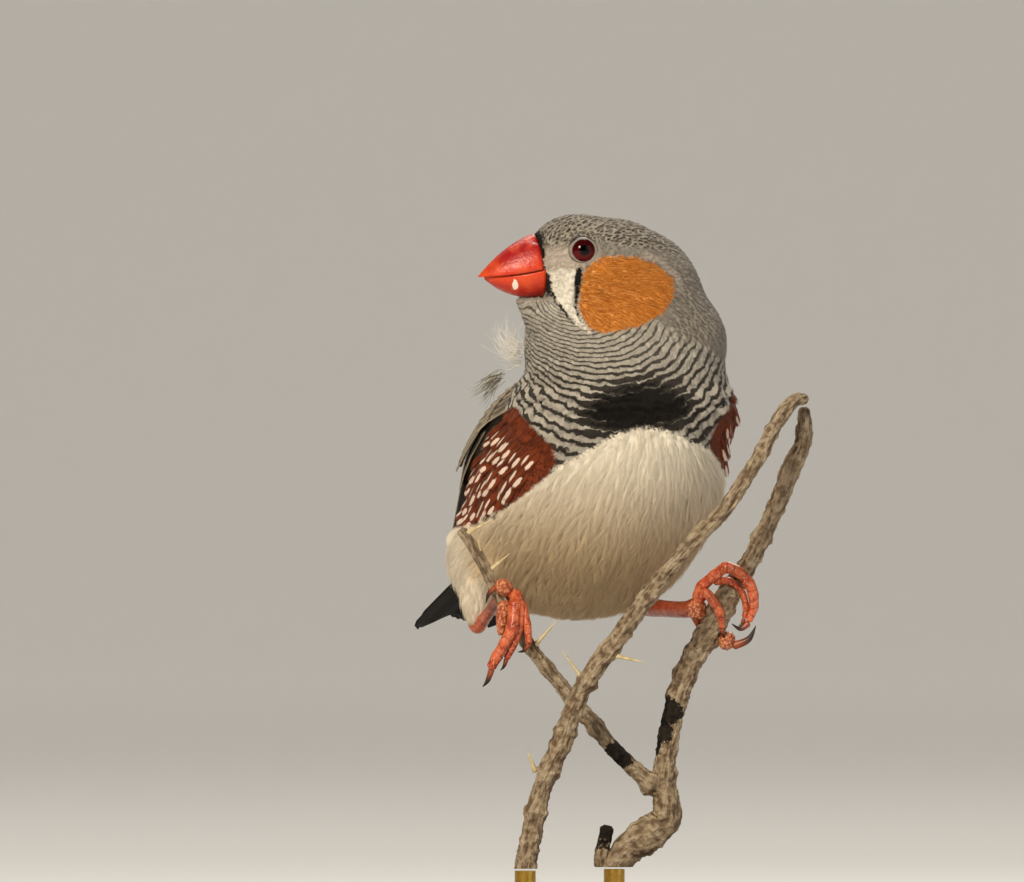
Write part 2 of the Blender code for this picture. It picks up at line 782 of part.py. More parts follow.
STUB = ((2.0, -7.0, 20.4, 1.1), (0.2, -7.6, 22.6, 1.0), (0.6, -7.9, 25.6, 0.85))
FRONT_TWIG = (
    (-10.8, -19.0, 19.4, 1.5), (-9.9, -19.0, 24.7, 1.45), (-8.3, -19.1, 31.6, 1.35), (-5.6, -19.4, 38.1, 1.4),
    (-3.7, -19.6, 43.4, 1.3), (-1.0, -20.2, 48.4, 1.35), (2.0, -21.2, 52.3, 1.25), (5.9, -23.2, 58.0, 1.3),
    (9.6, -24.8, 62.8, 1.2), (13.4, -25.4, 67.2, 1.2), (17.6, -25.2, 71.4, 1.25), (22.4, -23.6, 78.7, 1.15),
    (24.5, -22.0, 82.8, 1.1), (27.1, -19.2, 86.4, 1.15), (29.0, -17.6, 87.0, 0.9),
)
THORNS = (
    ((-9.3, -19.0, 34.2), (-10.4, -19.8, 37.1)),
    ((-2.1, -20.0, 46.6), (-5.5, -21.4, 51.3)),
    ((1.8, -21.2, 50.6), (6.3, -21.8, 49.6)),
)
SIDE_THORNS = (
    ((-9.5, -13.4, 51.7), (-6.1, -14.6, 55.6)),
    ((-16.0, -14.5, 62.4), (-12.9, -15.4, 65.0)),
    ((-16.9, -14.6, 64.0), (-17.4, -15.6, 67.4)),
    ((-12.6, -13.9, 56.2), (-10.6, -14.4, 56.4)),
)
KNOB_SEED = 7


def knobbly(points, draw, steps=2):
    """A smooth route whose radius swells and shrinks as bark does."""
    found = []
    for i, point in enumerate(smooth_route(points, steps)):
        swell = 1.0 + 0.10 * draw.uniform(-1.0, 1.0) + (0.12 if i % 3 == 1 else 0.0)
        found.append((point[0], point[1], point[2], point[3] * swell))
    return found


def thorn(base, tip, home):
    return tube("thorn", [(*base, 0.5), (*Vector(base).lerp(Vector(tip), 0.35), 0.34), (*tip, 0.07)], home, 1)


def build_perch(parts, home):
    draw = random.Random(KNOB_SEED)
    branch = tube("branch", knobbly(BRANCH, draw), home)
    twig = tube("twig", knobbly(SIDE_TWIG, draw), home)
    stub = tube("stub", knobbly(STUB, draw), home)
    stump = tube("stump", STUMP, home)
    front = tube("front", knobbly(FRONT_TWIG, draw), home)
    pieces = [branch, twig, stub, stump] + [thorn(base, tip, home) for base, tip in SIDE_THORNS]
    wood = unite(pieces)
    spikes = [front] + [thorn(base, tip, home) for base, tip in THORNS]
    twig_front = unite(spikes)
    floor_block = half_space("floor_block", Vector((0, 0, PERCH_CUT)), Vector((0, 0, -1)), home)
    carve(wood, floor_block)
    carve(twig_front, floor_block)
    remove(floor_block)
    clear = grown(wood, GAP, home)
    carve(twig_front, clear)
    dress(wood, "perch_branch", "bark", parts)
    dress(twig_front, "perch_front_twig", "bark", parts)
    return clear


def build_stand(parts, home):
    bm = bmesh.new()
    bmesh.ops.create_cone(
        bm, cap_ends=True, segments=48, radius1=BASE_RADIUS * MM, radius2=BASE_RADIUS * MM,
        depth=BASE_THICK * MM, matrix=Matrix.Translation((0, 0, BASE_THICK * MM / 2.0)),
    )
    base = mesh_object("base", bm, home)
    bevel = base.modifiers.new("Bevel", "BEVEL")
    bevel.width = 1.4 * MM
    bevel.segments = 1
    bevel.limit_method = "ANGLE"
    apply_modifiers(base)
    dress(base, "stand_base", "wood", parts)
    for name, spot in (("stand_rod_back", (2.0, -7.0)), ("stand_rod_front", (-10.7, -19.0))):
        low, high = BASE_THICK + GAP, PERCH_CUT - GAP
        rod = bmesh.new()
        middle = Matrix.Translation((spot[0] * MM, spot[1] * MM, (low + high) * MM / 2.0))
        bmesh.ops.create_cone(
            rod, cap_ends=True, segments=16, radius1=ROD_RADIUS * MM, radius2=ROD_RADIUS * MM,
            depth=(high - low) * MM, matrix=middle,
        )
        dress(mesh_object(name, rod, home), name, "brass", parts)


def main():
    for obj in list(bpy.data.objects):
        bpy.data.objects.remove(obj)
    parts = collection("zebra_finch")
    home = collection("workshop")
    flesh = build_flesh(home)
    clear_of_flesh = grown(flesh, GAP, home)
    head_point_on, head_normal = HEAD_CUT
    neck_point, neck_normal = NECK_CUT
    torso = part_by(flesh, "torso", neck_point, neck_normal, home)
    neck = part_by(flesh, "neck", neck_point, -neck_normal, home)
    head = part_by(neck, "head", head_point_on, -head_normal, home)
    block = half_space("block", head_point_on - head_normal * GAP / 2.0, head_normal, home)
    carve(neck, block)
    remove(block)
    build_head(head, home)
    dress(torso, "torso", "cream", parts)
    dress(neck, "neck", "grey", parts)
    dress(head, "head", "grey", parts)
    build_bill(parts, home)
    for side, name in ((1, "eye_left"), (-1, "eye_right")):
        forward, left, up = EYE_PLACE
        eye = ball(name, in_head(forward, side * left, up, (EYE_RADIUS,) * 3), home, 3)
        dress(eye, name, "eye", parts)
    for side in (1, -1):
        build_wing(side, clear_of_flesh, parts, home)
    build_tail(clear_of_flesh, parts, home)
    clear_of_wood = build_perch(parts, home)
    for side in ("right", "left"):
        build_leg(side, clear_of_flesh, clear_of_wood, parts, home)
    build_stand(parts, home)
    for helper in list(home.objects):
        remove(helper)
    bpy.data.collections.remove(home)


main()
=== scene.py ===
"""Looks of a zebra finch still model: skin, coat, flight feathers, horn, feet, twigs and stand.

Sizes are millimetres in the classes and metres in the meshes. +X is to the right of the front
view, +Y away from it and +Z up, with the origin in the middle of the stand's underside.
"""

import logging
import math
from dataclasses import dataclass, field
from enum import Enum
from itertools import product

import bpy
import numpy as np
from mathutils import Matrix, Vector, bvhtree, noise


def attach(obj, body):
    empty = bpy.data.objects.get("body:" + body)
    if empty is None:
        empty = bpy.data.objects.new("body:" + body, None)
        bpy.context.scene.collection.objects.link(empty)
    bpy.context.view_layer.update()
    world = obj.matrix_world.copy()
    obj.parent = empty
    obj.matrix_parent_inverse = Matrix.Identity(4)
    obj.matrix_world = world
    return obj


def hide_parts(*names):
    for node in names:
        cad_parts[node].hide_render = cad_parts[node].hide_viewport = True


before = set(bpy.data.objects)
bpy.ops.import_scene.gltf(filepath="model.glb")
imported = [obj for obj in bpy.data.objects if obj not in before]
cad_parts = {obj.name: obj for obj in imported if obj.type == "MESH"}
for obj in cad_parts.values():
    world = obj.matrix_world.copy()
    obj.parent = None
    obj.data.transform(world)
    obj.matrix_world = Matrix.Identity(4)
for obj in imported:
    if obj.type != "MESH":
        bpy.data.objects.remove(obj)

log = logging.getLogger("finch")
MM = 0.001
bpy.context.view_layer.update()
Array = np.ndarray
Piece = bpy.types.Object
Finish = bpy.types.Material
Socket = bpy.types.NodeSocket
Spot = tuple[float, float, float]
Outline = tuple[tuple[float, float], ...]
Route = tuple[tuple[float, ...], ...]


# Axes and small shapes of number


def unit(vector: Array) -> Array:
    """Vectors of the last axis brought to length one."""
    vector = np.asarray(vector, float)
    return vector / np.maximum(np.linalg.norm(vector, axis=-1, keepdims=True), 1e-12)


def smooth_step(low: float, high: float, value: Array) -> Array:
    """Rises smoothly from 0 at low to 1 at high."""
    share = np.clip((np.asarray(value, float) - low) / (high - low), 0.0, 1.0)
    return share * share * (3.0 - 2.0 * share)


def direction(turn: float, rise: float) -> Array:
    """Level direction turned from -Y toward +X, then raised, both in degrees."""
    turn, rise = math.radians(turn), math.radians(rise)
    return np.array([math.sin(turn) * math.cos(rise), -math.cos(turn) * math.cos(rise), math.sin(rise)])


@dataclass(frozen=True)
class Axes:
    """A place with a forward, a left and an up direction."""

    centre: Spot
    turn: float
    rise: float

    @property
    def frame(self) -> Array:
        """The three directions.

        Returns:
            (3, 3) rows: forward, left and up.
        """
        forward = direction(self.turn, self.rise)
        left = unit(np.array([-forward[1], forward[0], 0.0]))
        return np.array([forward, left, np.cross(forward, left)])

    def point(self, forward: float, left: float, up: float) -> Array:
        """World place of these steps along the axes; arrays are taken too."""
        steps = np.stack(np.broadcast_arrays(forward, left, up), axis=-1).astype(float)
        return np.asarray(self.centre) + steps @ self.frame

    def steps(self, points: Array) -> Array:
        """Steps forward, left and up that lead to world places."""
        return (np.asarray(points, float) - np.asarray(self.centre)) @ self.frame.T


BODY = Axes((-0.6, 0.0, 74.2), 22.0, 25.0)
HEAD = Axes((0.5, -12.0, 104.8), -79.0, -6.0)
UPRIGHT = np.eye(3)


def to_edge(points: Array, start: Array, stop: Array) -> Array:
    """Distance of each place from the straight edge between two corners.

    Args:
        points: (n, k) places.
        start: first corner.
        stop: last corner.

    Returns:
        (n,) distances.
    """
    edge = stop - start
    away = points - start
    share = np.clip(away @ edge / (edge @ edge), 0.0, 1.0)
    return np.linalg.norm(away - share[:, None] * edge, axis=1)


def outline_distance(points: Array, outline: Outline) -> Array:
    """Signed distance to a closed outline, positive inside.

    Args:
        points: (n, 2) places.
        outline: corners in order round the shape.

    Returns:
        (n,) distances in the unit of the places.
    """
    corners = np.asarray(outline, float)
    near = np.full(len(points), 1e9)
    inside = np.zeros(len(points), bool)
    for start, stop in zip(corners, np.roll(corners, -1, axis=0)):
        near = np.minimum(near, to_edge(points, start, stop))
        edge = stop - start
        crosses = (start[1] > points[:, 1]) != (stop[1] > points[:, 1])
        rise = edge[1] if abs(edge[1]) > 1e-9 else 1e-9
        inside ^= crosses & (points[:, 0] < start[0] + edge[0] * (points[:, 1] - start[1]) / rise)
    return np.where(inside, near, -near)


def line_distance(points: Array, route: Route) -> Array:
    """Distance to an open line of straight lengths, in as many axes as the places have."""
    corners = np.asarray(route, float)
    return np.min([to_edge(points, start, stop) for start, stop in zip(corners, corners[1:])], axis=0)


def smooth_route(points: Route, steps: int) -> Array:
    """Points along a smooth curve through the given ones, with as many numbers each.

    Args:
        points: places to pass, with any further numbers.
        steps: points made from one to the next.

    Returns:
        (n, k) points.
    """
    given = np.asarray(points, float)
    ends = np.vstack([given[:1], given, given[-1:]])
    share = (np.arange(steps) / steps)[:, None]
    found = []
    for before, start, stop, after in zip(ends, ends[1:], ends[2:], ends[3:]):
        found.append(
            0.5
            * (
                2 * start
                + (stop - before) * share
                + (2 * before - 5 * start + 4 * stop - after) * share**2
                + (3 * start - before - 3 * stop + after) * share**3
            )
        )
    return np.vstack(found + [given[-1:]])


# Meshes from arrays


def add_values(mesh: bpy.types.Mesh, values: dict[str, Array]) -> None:
    """Stores one number or three at every point of a mesh, under each name.

    Args:
        mesh: the mesh.
        values: numbers or triples, one for each point, by name.
    """
    for label, value in values.items():
        kind, key = ("FLOAT_VECTOR", "vector") if value.ndim == 2 else ("FLOAT", "value")
        slot = mesh.attributes.new(label, kind, "POINT")
        slot.data.foreach_set(key, value.astype(np.float32).ravel())


@dataclass
class Sheet:
    """Arrays of one mesh: places in millimetres, triangles or quads, and named values per point."""

    places: Array
    faces: list
    values: dict[str, Array] = field(default_factory=dict)
    patches: Array | None = None

    def piece(self, name: str) -> Piece:
        """The mesh object these arrays make, with its values as attributes.

        Args:
            name: name of the object.

        Returns:
            The object, in the scene.
        """
        mesh = bpy.data.meshes.new(name)
        mesh.from_pydata((self.places * MM).tolist(), [], self.faces)
        add_values(mesh, self.values)
        if self.patches is not None:
            layer = mesh.uv_layers.new(name="OFBake")
            corner = np.empty(len(mesh.loops), np.int32)
            mesh.loops.foreach_get("vertex_index", corner)
            layer.data.foreach_set("uv", self.patches[corner].astype(np.float32).ravel())
        mesh.update()
        made = bpy.data.objects.new(name, mesh)
        bpy.context.scene.collection.objects.link(made)
        mesh.shade_smooth()
        return made


def merged(sheets: list[Sheet]) -> Sheet:
    """One sheet from several that carry the same values.

    Args:
        sheets: the sheets in order.

    Returns:
        The joined sheet.
    """
    places, faces, start = [], [], 0
    for sheet in sheets:
        places.append(sheet.places)
        faces.extend([tuple(corner + start for corner in face) for face in sheet.faces])
        start += len(sheet.places)
    values = {
        label: np.concatenate([sheet.values[label] for sheet in sheets]) for label in sheets[0].values
    }
    patches = None
    if sheets[0].patches is not None:
        patches = np.concatenate([sheet.patches for sheet in sheets])
    return Sheet(np.vstack(places), faces, values, patches)


def ring_faces(rings: int, around: int, closed: bool = False) -> list[tuple[int, ...]]:
    """Quads between rings of points.

    Args:
        rings: how many rings.
        around: points in each.
        closed: whether the last ring meets the first.

    Returns:
        Corner numbers of each quad.
    """
    faces = []
    for i in range(rings if closed else rings - 1):
        low, high = i * around, (i + 1) % rings * around
        for k in range(around):
            after = (k + 1) % around
            faces.append((low + k, low + after, high + after, high + k))
    return faces


def slab_grid(wide: int, long: int) -> tuple[Array, Array]:
    """Where each upper point of a thin slab lies on it.

    Args:
        wide: squares across.
        long: squares along.

    Returns:
        Across, -1 to 1, and along, 0 to 1, of each point.
    """
    sides, lengths = np.linspace(-1.0, 1.0, wide + 1), np.linspace(0.0, 1.0, long + 1)
    across, along = np.meshgrid(sides, lengths, indexing="ij")
    return across.ravel(), along.ravel()


def slab_faces(wide: int, long: int) -> list[tuple[int, ...]]:
    """Quads of a thin slab, its upper points before its lower ones.

    Args:
        wide: squares across.
        long: squares along.

    Returns:
        Corner numbers of the upper, lower and rim quads.
    """
    deep = long + 1
    count = (wide + 1) * deep
    faces = []
    for i in range(wide):
        for k in range(long):
            a = i * deep + k
            b = a + count
            faces += [(a, a + deep, a + deep + 1, a + 1), (b, b + 1, b + deep + 1, b + deep)]
    rim = list(range(deep)) + [i * deep + long for i in range(1, wide + 1)]
    rim += [wide * deep + k for k in range(long - 1, -1, -1)] + [i * deep for i in range(wide - 1, 0, -1)]
    return faces + [(a, b, b + count, a + count) for a, b in zip(rim, rim[1:] + rim[:1])]


def tube(route: Array, sides: int, round_ends: bool = True) -> Sheet:
    """A round bar along a route of x, y, z and radius.

    Args:
        route: (n, 4) points and radii.
        sides: corners round the bar.
        round_ends: whether the two ends are domed rather than flat.

    Returns:
        The bar, with "route" holding the length run, the angle in turns and the radius.
    """
    spots, radii = route[:, :3], route[:, 3]
    if round_ends:
        first = spots[0] - unit(spots[1] - spots[0]) * radii[0] * 0.45
        last = spots[-1] + unit(spots[-1] - spots[-2]) * radii[-1] * 0.45
        spots = np.vstack([first, spots, last])
        radii = np.concatenate([[radii[0] * 0.6], radii, [radii[-1] * 0.6]])
    ahead = unit(np.gradient(spots, axis=0))
    side = unit(np.cross(ahead[0], [0.13, 0.71, 0.69]))
    run = np.concatenate([[0.0], np.cumsum(np.linalg.norm(np.diff(spots, axis=0), axis=1))])
    angles = 2.0 * math.pi * np.arange(sides) / sides
    places, marks = [], []
    for spot, along, radius, length in zip(spots, ahead, radii, run):
        side = unit(side - along * (side @ along))
        other = np.cross(along, side)
        ring = np.cos(angles)[:, None] * side + np.sin(angles)[:, None] * other
        places.append(spot + ring * radius)
        marks.append(np.stack([np.full(sides, length), angles / (2.0 * math.pi), np.full(sides, radius)], 1))
    faces = ring_faces(len(spots), sides)
    faces.append(tuple(range(sides))[::-1])
    faces.append(tuple(range((len(spots) - 1) * sides, len(spots) * sides)))
    return Sheet(np.vstack(places), faces, {"route": np.vstack(marks)})


def choose(*pieces: Piece) -> None:
    """Makes these the only selected objects, the first of them active.

    Args:
        *pieces: the objects.
    """
    bpy.ops.object.select_all(action="DESELECT")
    for piece in pieces:
        piece.select_set(True)
    bpy.context.view_layer.objects.active = pieces[0]


def outward(piece: Piece) -> Piece:
    """Turns the faces of a closed piece to the outside.

    Args:
        piece: the piece.

    Returns:
        The same piece.
    """
    choose(piece)
    bpy.ops.object.mode_set(mode="EDIT")
    bpy.ops.mesh.select_all(action="SELECT")
    bpy.ops.mesh.normals_make_consistent(inside=False)
    bpy.ops.object.mode_set(mode="OBJECT")
    return piece


def apply_all(piece: Piece) -> None:
    """Applies every modifier in order.

    Args:
        piece: the piece that has them.
    """
    choose(piece)
    for modifier in list(piece.modifiers):
        bpy.ops.object.modifier_apply(modifier=modifier.name)


def place_and_rest(piece: Piece) -> Piece:
    """Writes the object's own place, turn and size into its mesh.

    Args:
        piece: the piece.

    Returns:
        The same piece.
    """
    choose(piece)
    bpy.ops.object.transform_apply(location=True, rotation=True, scale=True)
    return piece


# Where each marking lies


@dataclass(frozen=True)
class Markings:
    """The bird's pattern as smooth numbers at any place near its surface."""

    breast_turn: float = -12.0
    throat_turn: float = -85.0
    throat_low: float = 88.0
    throat_high: float = 100.0
    lean: float = 0.03
    bar_centre: Spot = (2.0, -25.0, 107.5)
    bar_centre_high: Spot = (-5.0, -20.0, 107.5)
    bar_low: float = 86.0
    bar_high: float = 100.0
    bar_squash: float = 0.88
    bar_pitch: float = -0.13
    bar_growth: float = 0.061
    chin: Spot = (-11.2, -14.5, 101.6)
    chin_pitch: float = 1.4
    chin_reach: float = 4.8
    barred_half_turn: float = 80.0
    barred_more_right: float = 20.0
    cheek: Outline = (
        (0.8, 2.5), (-3.2, 2.1), (-6.4, 0.7), (-8.7, -1.8), (-8.4, -4.2), (-6.2, -6.5), (-2.4, -7.9),
        (2.2, -8.3), (4.2, -7.5), (5.3, -4.9), (5.2, -2.5), (4.5, 0.4), (2.9, 1.9),
    )
    malar: Outline = (
        (8.7, 1.0), (9.2, -0.8), (8.5, -2.9), (7.1, -5.0), (5.7, -6.8), (4.4, -8.0), (5.3, -5.3),
        (5.9, -3.2), (5.5, -1.0), (5.0, 0.9), (6.2, 1.3), (7.7, 1.5),
    )
    cheek_line: Outline = ((4.9, 1.3), (5.2, -0.4), (5.5, -2.4), (5.7, -4.2), (5.3, -6.4))
    bill_line: Outline = (
        (9.2, 6.6), (9.35, 4.6), (9.35, 3.2), (9.3, 1.6), (9.25, 0.0), (8.9, -1.6), (8.2, -3.2), (7.2, -4.9),
        (6.2, -6.6),
    )
    pale_line: Outline = ((-4.6, 2.3), (-7.2, 1.0), (-9.3, -1.4), (-9.7, -3.4))
    flank: Outline = (
        (40.0, 79.0), (43.0, 81.4), (51.0, 83.4), (60.0, 85.3), (77.0, 88.2), (96.0, 88.0), (112.0, 82.5),
        (128.0, 79.0), (142.0, 75.0), (140.0, 72.2), (106.0, 72.4), (81.0, 73.6), (62.0, 75.3), (46.0, 77.4),
    )
    band: Outline = (
        (-8.0, 88.6), (6.0, 88.5), (14.0, 88.0), (20.0, 87.0), (25.0, 85.6), (21.0, 84.2), (14.0, 83.4),
        (6.0, 82.8), (-8.0, 82.4),
    )

    def turn_round(self, points: Array) -> Array:
        """Degrees round the neck from the way the body faces, positive to the bird's left.

        Args:
            points: (n, 3) places in millimetres.

        Returns:
            (n,) degrees.
        """
        east, north = points[:, 0] - 2.5, points[:, 1] + 5.0
        ahead = direction(BODY.turn, 0.0)
        across = east * -ahead[1] + north * ahead[0]
        return np.degrees(np.arctan2(across, east * ahead[0] + north * ahead[1]))

    def level(self, points: Array) -> tuple[Array, Array]:
        """Degrees from the middle of the breast on either side, and height with the lean taken out.

        Args:
            points: (n, 3) places in millimetres.

        Returns:
            (n,) degrees and (n,) millimetres.
        """
        turn = self.turn_round(points) - self.breast_turn
        turn = (turn + 180.0) % 360.0 - 180.0
        return np.abs(turn), points[:, 2] - self.lean * turn

    def passed(self, points: Array) -> Array:
        """Count of dark bars passed on the way down from the face, without the chin's arcs.

        Args:
            points: (n, 3) places in millimetres.

        Returns:
            (n,) counts.
        """
        share = smooth_step(self.bar_low, self.bar_high, points[:, 2])[:, None]
        low, high = np.asarray(self.bar_centre), np.asarray(self.bar_centre_high)
        away = points - (low + (high - low) * share)
        far = np.sqrt((away[:, 0] * self.bar_squash) ** 2 + away[:, 1] ** 2 + away[:, 2] ** 2)
        return np.log(np.maximum(self.bar_growth * far + self.bar_pitch, 0.05)) / self.bar_growth

    def bars(self, points: Array) -> Array:
        """Count of dark bars passed, as arcs round the chin near it.

        Args:
            points: (n, 3) places in millimetres.

        Returns:
            (n,) counts.
        """
        passed = self.passed(points)
        chin = np.asarray([self.chin])
        near = np.linalg.norm(points - chin, axis=1)
        arcs = self.passed(chin)[0] + self.chin_pitch * near
        return passed + (arcs - passed) * np.exp(-((near / self.chin_reach) ** 2))

    def barred(self, points: Array) -> Array:
        """Share of the bars' strength, fading out on the nape.

        Args:
            points: (n, 3) places in millimetres.

        Returns:
            (n,) shares.
        """
        middle = smooth_step(self.throat_low, self.throat_high, points[:, 2])
        middle = self.breast_turn + (self.throat_turn - self.breast_turn) * middle
        turn = (self.turn_round(points) - middle + 180.0) % 360.0 - 180.0
        steps = HEAD.steps(points)
        below_face = 1.0 - smooth_step(-3.4, -2.0, steps[:, 2])
        more = self.barred_more_right * smooth_step(97.0, 92.0, points[:, 2]) * (turn < 0.0)
        over = np.abs(turn) - self.barred_half_turn - more
        fade = 1.0 - smooth_step(-8.0, 7.0, over)
        return fade * below_face

    def values(self, points: Array) -> dict[str, Array]:
        """The named values that the plumage finish reads.

        Args:
            points: (n, 3) places in millimetres.

        Returns:
            Three-number values: bars, barred and band; cheek, white and black lines; belly, flank
            and crown; buff, back and lores.
        """
        steps = HEAD.steps(points)
        profile = np.stack([steps[:, 0], steps[:, 2]], 1)
        turn, height = self.level(points)
        below_head = smooth_step(99.0, 92.0, points[:, 2])
        side = smooth_step(1.0, 3.0, np.abs(steps[:, 1]))
        on_head = smooth_step(93.5, 96.0, points[:, 2])
        cheek = np.where(on_head > 0.5, outline_distance(profile, self.cheek), -5.0)
        white = np.where(side * on_head > 0.5, outline_distance(profile, self.malar), -5.0)
        thin = line_distance(profile, self.cheek_line) - np.interp(
            profile[:, 1], [-6.4, -4.0, -2.2, -0.5, 0.8, 1.6], [0.05, 0.14, 0.32, 0.46, 0.44, 0.20])
        rim = line_distance(profile, self.bill_line) - np.interp(
            profile[:, 1], [-6.6, -4.6, -2.2, -1.3, -0.6, 0.7, 1.2, 3.0, 3.6, 6.6],
            [0.10, 0.19, 0.22, 0.32, 0.58, 0.55, 0.16, 0.16, 0.46, 0.46])
        black = np.where(on_head > 0.5, -np.minimum(thin, rim), -5.0)
        belly_top = np.interp(turn, [0, 10, 16, 24, 41, 46, 62, 81, 106, 140, 180],
                              [83.0, 82.3, 81.6, 80.2, 78.3, 77.3, 75.4, 73.6, 72.4, 72.2, 71.4])
        belly = belly_top - height
        flank = outline_distance(np.stack([turn * 0.28, height], 1), np.multiply(self.flank, (0.28, 1.0)))
        band = outline_distance(np.stack([turn * 0.33, height], 1), np.multiply(self.band, (0.33, 1.0)))
        crown = smooth_step(3.3, 5.0, steps[:, 2] - 0.24 * np.minimum(steps[:, 0], 1.5))
        nape = 0.5 * smooth_step(-5.5, -8.5, steps[:, 0])
        crown = np.maximum(crown, nape) * on_head
        thigh = smooth_step(-14.5, -16.5, points[:, 0]) * smooth_step(63.0, 60.0, points[:, 2])
        vent = smooth_step(-17.0, -20.0, points[:, 0]) * smooth_step(71.0, 66.0, points[:, 2])
        thigh = np.maximum(thigh, vent)
        buff = smooth_step(80.0, 62.0, points[:, 2]) * (1.0 - 0.75 * thigh)
        trunk = BODY.steps(points)
        back = smooth_step(-1.0, 5.0, trunk[:, 2]) * smooth_step(96.0, 88.0, points[:, 2])
        back = back * smooth_step(24.0, 12.0, trunk[:, 0]) * smooth_step(92.0, 108.0, turn)
        lores = smooth_step(-0.6, 0.8, steps[:, 2]) * smooth_step(3.4, 5.4, steps[:, 0]) * (1.0 - crown)
        over_cheek = smooth_step(0.75, 0.25, line_distance(profile, self.pale_line)) * on_head
        lores = np.maximum(lores, 0.45 * over_cheek)
        band = np.where(below_head > 0, band, -5)
        belly, flank = np.where(below_head > 0, belly, -9), np.where(below_head > 0, flank, -9)
        return {
            "marks_a": np.stack([self.bars(points), self.barred(points), band], 1),
            "marks_b": np.stack([cheek, white, black], 1),
            "marks_c": np.stack([belly, flank, crown], 1),
            "marks_d": np.stack([buff, back, lores], 1),
        }


# Finishes


def paint(code: str) -> tuple[float, float, float, float]:
    """Linear colour from a web colour.

    Args:
        code: the web colour.

    Returns:
        Red, green, blue and one.
    """
    shares = [int(code[i:i + 2], 16) / 255.0 for i in (1, 3, 5)]
    linear = [share / 12.92 if share <= 0.04045 else ((share + 0.055) / 1.055) ** 2.4 for share in shares]
    return (linear[0], linear[1], linear[2], 1.0)


